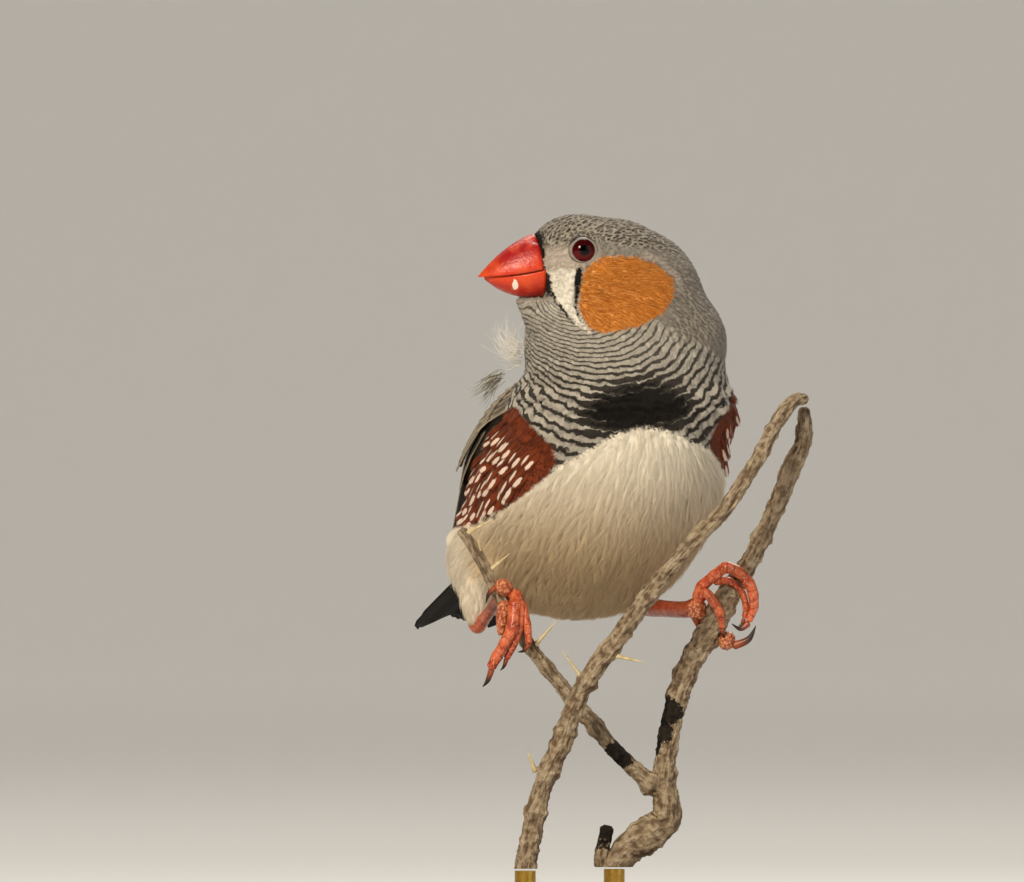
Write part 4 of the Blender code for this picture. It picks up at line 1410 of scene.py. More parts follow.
    def build(self, skin: Piece, markings: Markings) -> list[tuple[Piece, Region]]:
        """Every region's tufts as objects, each with its region.

        Args:
            skin: the finished skin.
            markings: the bird's pattern.

        Returns:
            Pairs of object and region.
        """
        points, _ = mesh_arrays(skin)
        faces = [tuple(face.vertices) for face in skin.data.polygons]
        tree = bvhtree.BVHTree.FromPolygons([Vector(point) for point in points], faces)
        places, normals, regions = self.roots(skin, markings)
        steps = HEAD.steps(places)
        from_eye = self.from_eye(steps)
        free = np.hypot(from_eye[:, 0], from_eye[:, 2]) > self.eye_clear
        bill = Bill()
        keel = bill.rim(np.clip((steps[:, 0] - bill.root) / (bill.tip - bill.root), 0.0, 1.0), False)
        free &= ~((steps[:, 0] > 9.1) & (steps[:, 2] > keel - 0.2) & (steps[:, 2] < 6.6))
        more_places, more_normals = bill.base_roots()
        places = np.vstack([places[free], more_places])
        normals = np.vstack([normals[free], more_normals])
        regions = np.concatenate([regions[free], np.full(len(more_places), Region.FACE.value)])
        made = []
        for region in Region:
            chosen = regions == region.value
            if not chosen.any():
                continue
            each = len(self.links(TUFTS[region]))
            shares = int(math.ceil(chosen.sum() * each / self.most))
            cuts = np.quantile(places[chosen, 0], np.linspace(0.0, 1.0, shares + 1)[1:-1])
            part = np.searchsorted(cuts, places[:, 0])
            for k in range(shares):
                picked = chosen & (part == k)
                sheet = self.tufts(region, places[picked], normals[picked], tree, markings)
                name = "coat_" + region.name.lower() + ("_%d" % (k + 1) if shares > 1 else "")
                made.append((sheet.piece(name), region))
                log.info("%s: %d tufts, %d triangles", name, picked.sum(), len(sheet.faces))
        return made


# Wings and tail


@dataclass(frozen=True)
class Vane:
    """One flat feather on a bed: root and tip as (along, across), all in millimetres."""

    root: tuple[float, float]
    tip: tuple[float, float]
    width: float
    lifts: tuple[float, float]
    tilt: float
    bow: float = 0.0
    kind: float = 0.0
    thick: float = 0.16

    def sheet(self, bed: "Bed", chance: float, wide: int = 8, long: int = 14) -> Sheet:
        """The feather as a thin closed body.

        Args:
            bed: the curved bed it lies on.
            chance: its own random number, 0 to 1.
            wide: squares across.
            long: squares along.

        Returns:
            The arrays, with "tuft" holding across, along and chance, and "kind" its sort.
        """
        x, v = slab_grid(wide, long)
        v = v**0.85
        root, tip = np.asarray(self.root), np.asarray(self.tip)
        shaft = tip - root
        aside = unit(np.array([-shaft[1], shaft[0]]))
        half = 0.5 * self.width * (0.5 + 0.5 * np.minimum(1.0, v / 0.3))
        half = half * np.sqrt(np.maximum(0.02, 1.0 - np.maximum(0.0, (v - 0.74) / 0.262) ** 2))
        notch = 1.0 - 0.10 * (np.abs(v - (0.45 + 0.4 * chance)) < 0.03) * (np.abs(x) > 0.9)
        away = x * half * notch + self.bow * np.sin(math.pi * v)
        spots = root + shaft * v[:, None] + aside * away[:, None]
        lift = self.lifts[0] + (self.lifts[1] - self.lifts[0]) * v - self.tilt * x - 0.16 * x**2
        lift = lift + 0.10 * np.exp(-((x / 0.10) ** 2)) * (1.0 - 0.6 * v)
        top = bed.place(spots[:, 0], spots[:, 1], lift)
        low = bed.place(spots[:, 0], spots[:, 1], lift - self.thick * (1.15 - 0.5 * v))
        marks = np.stack([x, v, np.full(len(x), chance)], 1)
        values = {"tuft": np.vstack([marks, marks]), "kind": np.full(2 * len(x), self.kind)}
        return Sheet(np.vstack([top, low]), slab_faces(wide, long), values)


class Bed:
    """A curved surface that feathers lie on."""

    def place(self, along: Array, across: Array, lift: Array) -> Array:
        """World places of points of the bed."""
        raise NotImplementedError


@dataclass
class WingBed(Bed):
    """The side of the trunk: back from the wrist, up from the wing's lower edge, and out."""

    side: int
    wrist: float = 12.0
    turn_off: float = -10.0
    along_half: float = 27.0
    across_half: float = 18.3
    deep_half: float = 17.5
    low: float = 5.0
    front_rise: float = 3.2
    sunk: float = 0.55

    def share(self, forward: Array) -> Array:
        """How much of its girth the side has; behind the trunk the wing runs on straight.

        Args:
            forward: steps ahead of the trunk's middle.

        Returns:
            Shares of the full girth.
        """
        ahead = np.maximum(forward, self.turn_off) / self.along_half
        on_trunk = np.sqrt(np.maximum(1.0 - ahead**2, 0.0))
        start = math.sqrt(1.0 - (self.turn_off / self.along_half) ** 2)
        slope = -self.turn_off / self.along_half**2 / start
        return np.where(forward > self.turn_off, on_trunk, start + (forward - self.turn_off) * slope)

    def place(self, along: Array, across: Array, lift: Array) -> Array:
        """World places of points of the bed.

        Args:
            along: (n,) millimetres along it.
            across: (n,) millimetres across it.
            lift: (n,) millimetres off it.

        Returns:
            (n, 3) places.
        """
        forward = self.wrist - np.asarray(along, float)
        share = self.share(forward)
        radius = 18.0 * share
        low_height = self.low + np.maximum(0.0, -forward - 30.0) / 12.0
        low_height = low_height + self.front_rise * smooth_step(-9.0, 6.0, forward)
        turn = np.arcsin(low_height / radius) + across / radius
        left = self.side * (self.across_half * share + lift - self.sunk) * np.cos(turn)
        up = (self.deep_half * share + lift - self.sunk) * np.sin(turn)
        return BODY.point(forward, left, up)


@dataclass
class Wing:
    """A folded wing: primaries, secondaries, tertials and their coverts in tiers."""

    side: int
    length: float = 54.0
    primaries: int = 8
    secondaries: int = 6
    tertials: int = 3
    greater: int = 9
    median: int = 8
    lesser: int = 9
    seed: int = 5

    def vanes(self) -> list[Vane]:
        """Every large feather, lowest tier first.

        Returns:
            The vanes.
        """
        made = []
        for i in range(self.primaries):
            root = (11.0 + 0.7 * i, 2.6 + 0.55 * i)
            tip = (self.length - 1.0 * i - 0.28 * i * i, 1.6 + 0.62 * i)
            made.append(Vane(root, tip, 4.6, (0.5, 0.75), 0.32, -0.5, 0.0))
        for i in range(self.secondaries):
            root, tip = (14.0 - 0.5 * i, 6.2 + 1.05 * i), (34.5 - 0.7 * i, 5.4 + 0.98 * i)
            made.append(Vane(root, tip, 4.8, (0.85, 1.15), 0.32, -0.3, 0.2))
        for i in range(self.tertials):
            root, tip = (9.0 - 1.5 * i, 11.4 + 1.5 * i), (39.0 - 5.5 * i, 8.6 + 1.9 * i)
            made.append(Vane(root, tip, 6.2, (1.1, 1.5), 0.34, -0.4, 0.4))
        for i in range(self.greater):
            root, tip = (8.5 - 0.2 * i, 2.4 + 1.38 * i), (20.5 - 0.3 * i, 2.2 + 1.35 * i)
            made.append(Vane(root, tip, 3.8, (1.35, 1.75), 0.3, 0.0, 0.6))
        for i in range(self.median):
            root, tip = (3.0 - 0.2 * i, 3.0 + 1.45 * i), (12.5 - 0.25 * i, 2.7 + 1.42 * i)
            made.append(Vane(root, tip, 3.6, (0.0, 1.8), 0.28, 0.0, 0.7))
        for row, (start, stop, low) in enumerate(((1.2, 9.0, 2.8), (-0.8, 6.4, 3.8))):
            for i in range(self.lesser - row):
                root, tip = (start, low + 1.15 * i), (stop - 0.1 * i, low - 0.2 + 1.15 * i)
                made.append(Vane(root, tip, 2.7, (-0.9, 1.3 - 0.45 * row), 0.22, 0.0, 0.8))
        return made

    def core(self, bed: WingBed) -> Sheet:
        """The smooth arm of the wing under its feathers.

        Args:
            bed: the side of the trunk.

        Returns:
            The arrays.
        """
        wide, long = 12, 20
        x, v = slab_grid(wide, long)
        round_end = np.sqrt(np.maximum(0.03, 1.0 - (2.0 * v - 1.0) ** 4))
        across = 8.6 - 2.0 * v + x * (7.2 - 3.0 * v) * round_end
        lift = 1.2 * (1.0 - np.abs(x) ** 3) * (1.0 - 0.45 * v) * round_end
        top = bed.place(6.0 + 24.0 * v, across, lift)
        low = bed.place(6.0 + 24.0 * v, across, np.full(len(v), -1.4))
        values = {"tuft": np.full((2 * len(x), 3), (0.0, 0.4, 0.5)), "kind": np.full(2 * len(x), 0.8)}
        return Sheet(np.vstack([top, low]), slab_faces(wide, long), values)

    def build(self) -> Piece:
        """The wing as one object.

        Returns:
            The object.
        """
        draw = np.random.default_rng(self.seed + self.side)
        bed = WingBed(self.side)
        sheets = [self.core(bed)] + [vane.sheet(bed, draw.random()) for vane in self.vanes()]
        return outward(merged(sheets).piece("wing_feathers_" + ("left" if self.side > 0 else "right")))


@dataclass
class TailBed(Bed):
    """The spread tail: back from its root, to the bird's left and up."""

    root: Spot = (-11.5, 19.0, 67.6)
    tip: Spot = (-21.8, 50.6, 54.6)

    def place(self, along: Array, across: Array, lift: Array) -> Array:
        """World places of points of the bed.

        Args:
            along: (n,) millimetres along it.
            across: (n,) millimetres across it.
            lift: (n,) millimetres off it.

        Returns:
            (n, 3) places.
        """
        back = unit(np.subtract(self.tip, self.root))
        left = BODY.frame[1]
        left = unit(left - back * (left @ back))
        up = np.cross(left, back)
        along, across, lift = np.broadcast_arrays(along, across, lift)
        lift = lift - 0.012 * across * across
        return np.asarray(self.root) + along[:, None] * back + across[:, None] * left + lift[:, None] * up


@dataclass
class Tail:
    """Twelve long feathers with their upper and under coverts."""

    half_fan: float = 7.0
    width: float = 5.2
    seed: int = 9

    def build(self) -> Piece:
        """The tail as one object.

        Returns:
            The object.
        """
        bed = TailBed()
        draw = np.random.default_rng(self.seed)
        length = float(np.linalg.norm(np.subtract(bed.tip, bed.root)))
        vanes = []
        for side in (-1, 1):
            for i in range(6):
                share = (i + 0.45) / 6.0
                spread = math.radians(self.half_fan * share)
                reach = length - 1.6 * share
                root = (2.0, side * (0.5 + 1.9 * share))
                aside = side * (0.7 + 0.6 * share) + side * reach * math.sin(spread)
                tip = (reach * math.cos(spread), aside)
                lift = 0.9 - 0.34 * i
                vanes.append(Vane(root, tip, self.width, (lift, lift), 0.16 * side, 0.0, 0.0, 0.2))
        for i in range(7):
            across = 1.35 * (i - 3.0)
            reach = 15.5 - 0.5 * abs(i - 3.0)
            inner, outer = 0.6 * across, 0.9 * across
            vanes.append(Vane((0.5, 0.7 * across), (reach, across), 3.4, (1.9, 1.5), 0.1, 0.0, 0.5))
            vanes.append(Vane((-3.5, inner), (reach - 5.5, outer), 3.2, (2.1, 2.1), 0.1, 0.0, 0.5))
            vanes.append(Vane((0.5, inner), (reach + 3.5, outer), 3.4, (-1.1, -1.3), 0.1, 0.0, 1.0))
        sheets = [vane.sheet(bed, draw.random()) for vane in vanes]
        return outward(merged(sheets).piece("tail_feathers"))


@dataclass(frozen=True)
class Quill:
    """The finish of wing or tail feathers: pale edges, a darker shaft, fine barbs."""

    wing: bool

    def material(self, name: str) -> Finish:
        """The material, from across, along, chance and kind.

        Args:
            name: name of the material.

        Returns:
            The material.
        """
        nodes = Nodes(name)
        across, along, chance = nodes.parts("tuft")
        node = nodes.tree.nodes.new("ShaderNodeAttribute")
        node.attribute_name = "kind"
        kind = node.outputs["Fac"]
        edge = nodes.rise(nodes.math("ABSOLUTE", across), 0.62, 0.97)
        tip = nodes.rise(along, 0.90, 0.99)
        rim = nodes.math("MAXIMUM", edge, tip)
        slanted = nodes.scaled(nodes.math("ABSOLUTE", across), -0.35, along)
        barbs = nodes.noise(nodes.vector(nodes.times(slanted, 46.0), nodes.times(across, 1.2),
                                         nodes.times(chance, 70.0)), 1.0, 2.0)
        shaft = nodes.rise(nodes.math("ABSOLUTE", across), 0.09, 0.03)
        if self.wing:
            inner = nodes.mix(nodes.rise(kind, 0.1, 0.7), "#5d5347", "#75695a")
            colour = nodes.mix(nodes.times(rim, 0.75), inner, "#bdb09a")
        else:
            bars = nodes.rise(nodes.math("PINGPONG", nodes.times(along, 2.6), 0.5), 0.30, 0.36)
            covert = nodes.rise(kind, 0.3, 0.4)
            under = nodes.rise(kind, 0.8, 0.9)
            barred = nodes.mix(bars, "#141110", "#e2dbce")
            colour = nodes.mix(covert, "#0d0b0a", barred)
            colour = nodes.mix(under, colour, "#d8cdb8")
            dark_rim = nodes.times(nodes.times(rim, 0.5), nodes.math("SUBTRACT", 1.0, covert))
            colour = nodes.mix(dark_rim, colour, "#1d1915")
        colour = nodes.glaze(colour, "#2a231c", 0.25, barbs, 0.4, 0.65)
        colour = nodes.mix(nodes.times(shaft, 0.55), colour, "#2b241d")
        colour = nodes.mix(nodes.scaled(chance, 0.14, 0.0), colour, "#241d17")
        nodes.bump(barbs, 0.04, 0.7)
        return nodes.surface(colour, 0.70, specular_ior_level=0.2 if self.wing else 0.06)


# Bill and eyes


@dataclass
class Bill:
    """Both mandibles, lofted along the head."""

    root: float = 7.6
    tip: float = 18.2
    top: float = 6.9
    tip_height: float = 1.5
    bottom: float = -2.4
    half_width: float = 3.8
    mouth_height: float = 1.75
    lower_tip: float = 17.3
    gap: float = 0.03
    bare_from: float = 9.3
    apart: float = 0.30
    rings: int = 40
    arc: int = 33
    flat: int = 8

    def mouth(self, share: Array) -> Array:
        """Height of the line of the mouth."""
        return self.mouth_height - 0.35 * np.sin(math.pi * share) - 0.35 * share

    def rim(self, share: Array, upper: bool) -> Array:
        """Height of the upper mandible's ridge or of the lower one's keel.

        Args:
            share: 0 at the root, 1 at the tip.
            upper: which mandible.

        Returns:
            Steps up the head's axes.
        """
        if upper:
            return self.tip_height + (self.top - self.tip_height) * (1.0 - share**1.9)
        return self.tip_height - 0.5 + (self.bottom - 1.0) * (1.0 - share**3.0)

    def half(self, upper: bool) -> Piece:
        """One mandible with its nostrils, as a closed piece.

        Args:
            upper: which mandible.

        Returns:
            The object.
        """
        tip = self.tip if upper else self.lower_tip
        share = 1.0 - (1.0 - np.arange(self.rings) / (self.rings - 1)) ** 1.5
        width = self.half_width * (1.0 if upper else 0.94)
        places, marks = [], []
        for t in share:
            forward = self.root + (tip - self.root) * t
            wide = width * (1.0 - t**2.3) ** 0.85 + 0.10
            edge = self.mouth(t) - (0.0 if upper else self.gap)
            rim = self.rim(t, upper)
            angle = math.pi * np.arange(self.arc) / (self.arc - 1)
            left = wide * np.cos(angle) * (1.0 - 0.05 * np.sin(2.0 * angle) ** 2)
            up = edge + (rim - edge) * np.sin(angle) ** 0.9
            ridge = 0.10 * np.exp(-(((angle - math.pi / 2.0) / 0.20) ** 2)) * (1.0 - t)
            up = up + np.sign(rim - edge) * ridge
            if upper:
                near = ((forward - 9.75) / 0.55) ** 2 + ((np.abs(left) - 1.9) / 0.45) ** 2
                up = up - 0.55 * np.exp(-near) * (up > edge + 1.0)
            bare = self.bare_from if upper else self.bare_from - 0.3
            hidden = 0.34 * smooth_step(bare + 0.1, bare - 0.35, forward)
            left = left * (1.0 - hidden)
            up = up - (up - edge) * hidden
            back = np.linspace(-wide, wide, self.flat + 2)[1:-1]
            left = np.concatenate([left, back])
            up = np.concatenate([up, np.full(self.flat, edge)])
            places.append(HEAD.point(np.full(len(left), forward), left, up))
            marks.append(np.stack([np.full(len(left), t), (up - edge) / (rim - edge), left / wide], 1))
        around = self.arc + self.flat
        faces = ring_faces(self.rings, around)
        faces.append(tuple(range(around)))
        faces.append(tuple(range((self.rings - 1) * around, self.rings * around)))
        sheet = Sheet(np.vstack(places), faces, {"horn": np.vstack(marks)})
        return outward(sheet.piece("upper_mandible" if upper else "lower_mandible"))

    def base_roots(self) -> tuple[Array, Array]:
        """Places and normals of the small feathers that end over the mandibles' rear.

        Returns:
            (n, 3) places and (n, 3) normals.
        """
        places, normals = [], []
        for upper, tip in ((True, self.tip), (False, self.lower_tip)):
            for forward in np.arange(self.root + 0.3, self.bare_from - (0.0 if upper else 0.3), self.apart):
                share = (forward - self.root) / (tip - self.root)
                wide = self.half_width * (1.0 if upper else 0.94) * (1.0 - share**2.3) ** 0.85 + 0.10
                rim = self.rim(share, upper)
                edge = float(self.mouth(share))
                count = int(math.pi * 0.5 * (wide + abs(rim - edge)) / self.apart)
                angle = math.pi * (np.arange(count) + 0.5) / count
                up = np.sign(rim - edge) * np.sin(angle) / abs(rim - edge)
                away = np.stack([np.zeros(count), np.cos(angle) / wide, up], 1)
                high = edge + (rim - edge) * np.sin(angle) ** 0.9
                places.append(HEAD.point(forward, wide * np.cos(angle), high))
                normals.append(unit(away) @ HEAD.frame)
        return np.vstack(places), np.vstack(normals)

    def material(self, name: str, upper: bool) -> Finish:
        """Glossy red horn, deeper at the ridge and more orange below, with painted shade along the mouth.

        Args:
            name: name of the material.
            upper: which mandible.

        Returns:
            The material.
        """
        nodes = Nodes(name)
        along, high, side = nodes.parts("horn")
        cloud = nodes.noise(nodes.place(), 0.42, 3.0)
        grain = nodes.noise(nodes.place(), 2.6, 3.0)
        if upper:
            colour = nodes.mix(nodes.rise(high, 0.15, 0.80), "#cf3014", "#9c0610")
            colour = nodes.mix(nodes.rise(along, 0.55, 1.0), colour, "#cd3f1a")
        else:
            colour = nodes.mix(nodes.rise(high, 0.15, 0.95), "#d63f12", "#a5160e")
            aside = nodes.math("DIVIDE", nodes.math("SUBTRACT", side, 0.82), 0.15)
            ahead = nodes.math("DIVIDE", nodes.math("SUBTRACT", along, 0.60), 0.042)
            away = nodes.math("ADD", nodes.times(aside, aside), nodes.times(ahead, ahead))
            away = nodes.scaled(grain, 1.6, away)
        pale = nodes.times(nodes.rise(cloud, 0.44, 0.64), 0.42)
        colour = nodes.mix(pale, colour, "#e65c2b")
        base = nodes.times(nodes.rise(along, 0.20, 0.10), 0.35)
        colour = nodes.mix(base, colour, "#8c1a14")
        # Painted shade: the mouth's edge and the mandibles' inner faces go dark, as in the gap between them.
        mouth_shade = nodes.times(nodes.rise(high, 0.04, 0.0), 0.6)
        colour = nodes.mix(mouth_shade, colour, "#4a0b08")
        if not upper:
            colour = nodes.mix(nodes.rise(away, 2.0, 1.5), colour, "#f2e3d6")
        nodes.bump(nodes.math("ADD", grain, cloud), 0.10, 0.7)
        rough = nodes.scaled(grain, 0.26, 0.22)
        return nodes.surface(colour, rough, specular_ior_level=0.42)


@dataclass
class Eye:
    """The eyeball, its iris and pupil, and the ring of the lids."""

    side: int
    radius: float = 2.0
    place: Spot = (4.0, 6.1, 3.7)
    lid_out: float = 1.02
    lid_ring: float = 1.72
    lid_thick: float = 0.17
    lid_sides: int = 10
    skirt: float = 4.5

    def centre(self) -> Array:
        """World place of the middle of the eye."""
        forward, left, up = self.place
        return HEAD.point(forward, self.side * left, up)

    def ball(self) -> Piece:
        """The eyeball, with "gaze" holding the distance from its axis in radii.

        Returns:
            The object.
        """
        bpy.ops.object.select_all(action="DESELECT")
        bpy.ops.mesh.primitive_uv_sphere_add(segments=64, ring_count=40, radius=self.radius * MM,
                                             location=tuple(self.centre() * MM))
        ball = place_and_rest(bpy.context.active_object)
        ball.name = "eyeball_" + ("left" if self.side > 0 else "right")
        points, _ = mesh_arrays(ball)
        steps = (points - self.centre()) @ HEAD.frame.T
        out = self.side * steps[:, 1] / self.radius
        gaze = np.stack([steps[:, 0], steps[:, 2], out], 1) / [self.radius, self.radius, 1.0]
        add_values(ball.data, {"gaze": gaze})
        ball.data.shade_smooth()
        return ball

    def lids(self) -> Piece:
        """A closed ring round the eye, drawn to a slight point fore and aft.

        Returns:
            The object.
        """
        angles = np.linspace(0.0, 2.0 * math.pi, 49)[:-1]
        ahead = self.lid_ring * np.cos(angles) * (1.0 + 0.05 * np.cos(angles) ** 8)
        high = 0.90 * self.lid_ring * np.sin(angles)
        forward, left, up = self.place
        out = self.side * (left + self.lid_out)
        places, marks = [], []
        sides = self.lid_sides
        centre = HEAD.point(forward, out, up)
        spots = HEAD.point(forward + ahead, np.full(len(ahead), out), up + high)
        outward_way = HEAD.frame[1] * self.side
        for spot, angle in zip(spots, angles):
            away = unit(spot - centre)
            ring = 2.0 * math.pi * np.arange(sides) / sides
            inner = np.minimum(np.sin(ring), 0.0)[:, None]
            shift = np.cos(ring)[:, None] * away * 1.25 + np.sin(ring)[:, None] * outward_way
            shift = shift + inner * (self.skirt * outward_way - 1.2 * away)
            places.append(spot + shift * self.lid_thick)
            marks.append(np.stack([np.cos(ring), np.full(sides, angle), np.sin(ring)], 1))
        faces = ring_faces(len(spots), sides, True)
        name = "lids_" + ("left" if self.side > 0 else "right")
        return outward(Sheet(np.vstack(places), faces, {"lid": np.vstack(marks)}).piece(name))

    def material(self) -> Finish:
        """Dark red iris round a black pupil under a clear gloss, the iris darker at the top as painted
        shade.

        Returns:
            The material.
        """
        nodes = Nodes("eye")
        ahead, high, _ = nodes.parts("gaze")
        away = nodes.math("SQRT", nodes.math("ADD", nodes.times(ahead, ahead),
                                             nodes.times(high, high)))
        fibres = nodes.noise(nodes.place(), 2.2, 3.0)
        # Painted shade: the iris is darker at the top and lighter at the bottom.
        iris = nodes.mix(nodes.rise(high, 0.45, -0.45), "#300305", "#560709")
        iris = nodes.mix(nodes.times(nodes.rise(fibres, 0.4, 0.6), 0.3), iris, "#4a0708")
        colour = nodes.mix(nodes.rise(away, 0.40, 0.34), iris, "#020202")
        colour = nodes.mix(nodes.rise(away, 0.74, 0.90), colour, "#120404")
        return nodes.surface(colour, 0.05, specular_ior_level=0.2)


# Legs, feet and claws

# World places in millimetres with the radius there: each foot's shank, its balls and pads, its
# toes with a point at every joint, and its claws
FEET = {
    "right": {
        "shank": ((-17.8, -2.2, 58.0, 1.0), (-17.8, -2.8, 56.0, 1.1), (-17.5, -3.6, 54.7, 1.2),
                  (-16.4, -6.0, 55.8, 0.85), (-14.6, -11.0, 58.2, 0.85), (-13.2, -13.6, 58.6, 1.15)),
        "pads": (((-13.7, -15.3, 60.6, 1.3), (-13.9, -15.7, 59.9, 1.25)),
                 ((-13.6, -14.6, 57.8, 1.0), (-14.0, -15.0, 55.6, 0.85), (-14.1, -15.0, 53.6, 0.55))),
        "toes": (
            ((-13.2, -14.2, 59.6, 0.9), (-12.0, -15.3, 58.9, 0.95), (-12.2, -16.2, 57.6, 0.98),
             (-12.5, -16.8, 54.5, 1.02), (-13.5, -16.8, 52.5, 0.86), (-14.7, -16.6, 50.4, 0.84),
             (-15.5, -16.2, 48.9, 0.78)),
            ((-11.9, -14.8, 58.9, 0.7), (-11.4, -15.9, 57.6, 0.68), (-11.6, -16.2, 54.5, 0.64),
             (-12.4, -16.2, 52.0, 0.6), (-13.3, -15.9, 50.2, 0.54)),
            ((-11.7, -14.5, 59.0, 0.62), (-11.0, -15.4, 57.5, 0.62), (-10.4, -15.8, 54.8, 0.6),
             (-10.2, -15.6, 52.4, 0.54)),
        ),
        "claws": (
            ((-15.0, -15.7, 60.2, 0.42), (-15.9, -15.6, 59.2, 0.3), (-16.3, -15.2, 57.9, 0.06)),
            ((-15.5, -16.1, 48.4, 0.46), (-16.0, -15.8, 47.0, 0.34), (-16.7, -15.3, 46.1, 0.08)),
            ((-13.4, -15.9, 49.9, 0.36), (-13.7, -15.5, 49.0, 0.24), (-14.2, -15.0, 48.4, 0.06)),
            ((-10.2, -15.5, 52.0, 0.36), (-10.9, -15.3, 51.2, 0.24), (-11.7, -14.9, 51.0, 0.06)),
        ),
    },
    "left": {
        "shank": ((5.6, -0.2, 58.2, 1.2), (6.8, -1.6, 57.4, 1.4), (9.0, -5.4, 57.1, 1.2),
                  (12.0, -10.0, 57.0, 1.2), (13.6, -11.7, 57.4, 1.35)),
        "pads": (((13.7, -12.0, 57.8, 1.35), (13.8, -12.0, 56.2, 1.3)),
                 ((17.6, -11.7, 52.7, 1.4), (18.4, -11.9, 52.5, 1.35))),
        "toes": (
            ((13.9, -11.6, 58.6, 1.0), (14.5, -12.6, 60.3, 0.9), (16.3, -13.6, 61.9, 0.86),
             (17.9, -14.4, 63.0, 0.86), (19.6, -14.8, 62.4, 0.84), (21.1, -14.6, 60.8, 0.88),
             (21.7, -14.2, 59.2, 0.8), (21.8, -13.8, 57.4, 0.72), (21.2, -13.4, 55.5, 0.55)),
            ((16.4, -13.0, 61.0, 0.62), (18.4, -13.9, 61.0, 0.6), (20.1, -13.6, 59.4, 0.56),
             (20.7, -13.2, 57.4, 0.5), (20.5, -13.0, 56.0, 0.42)),
            ((13.9, -12.4, 58.2, 0.85), (15.0, -13.6, 59.3, 0.78), (16.2, -14.4, 58.0, 0.74),
             (17.0, -14.4, 56.4, 0.66), (17.3, -13.8, 54.6, 0.5)),
            ((13.6, -9.6, 56.0, 0.8), (15.0, -8.7, 53.8, 0.8), (16.8, -9.8, 52.8, 0.9),
             (17.8, -11.4, 52.6, 1.1)),
        ),
        "claws": (
            ((19.1, -12.0, 51.9, 0.62), (21.1, -12.5, 52.8, 0.46), (22.1, -12.9, 54.7, 0.06)),
            ((21.0, -13.3, 55.0, 0.46), (19.9, -13.5, 54.3, 0.34), (18.7, -13.8, 55.0, 0.06)),
            ((20.4, -13.0, 55.6, 0.34), (20.1, -13.1, 54.9, 0.24), (19.4, -13.3, 54.5, 0.05)),
            ((17.3, -13.6, 54.2, 0.36), (17.5, -13.2, 53.4, 0.22), (17.6, -12.8, 52.9, 0.06)),
        ),
    },
}


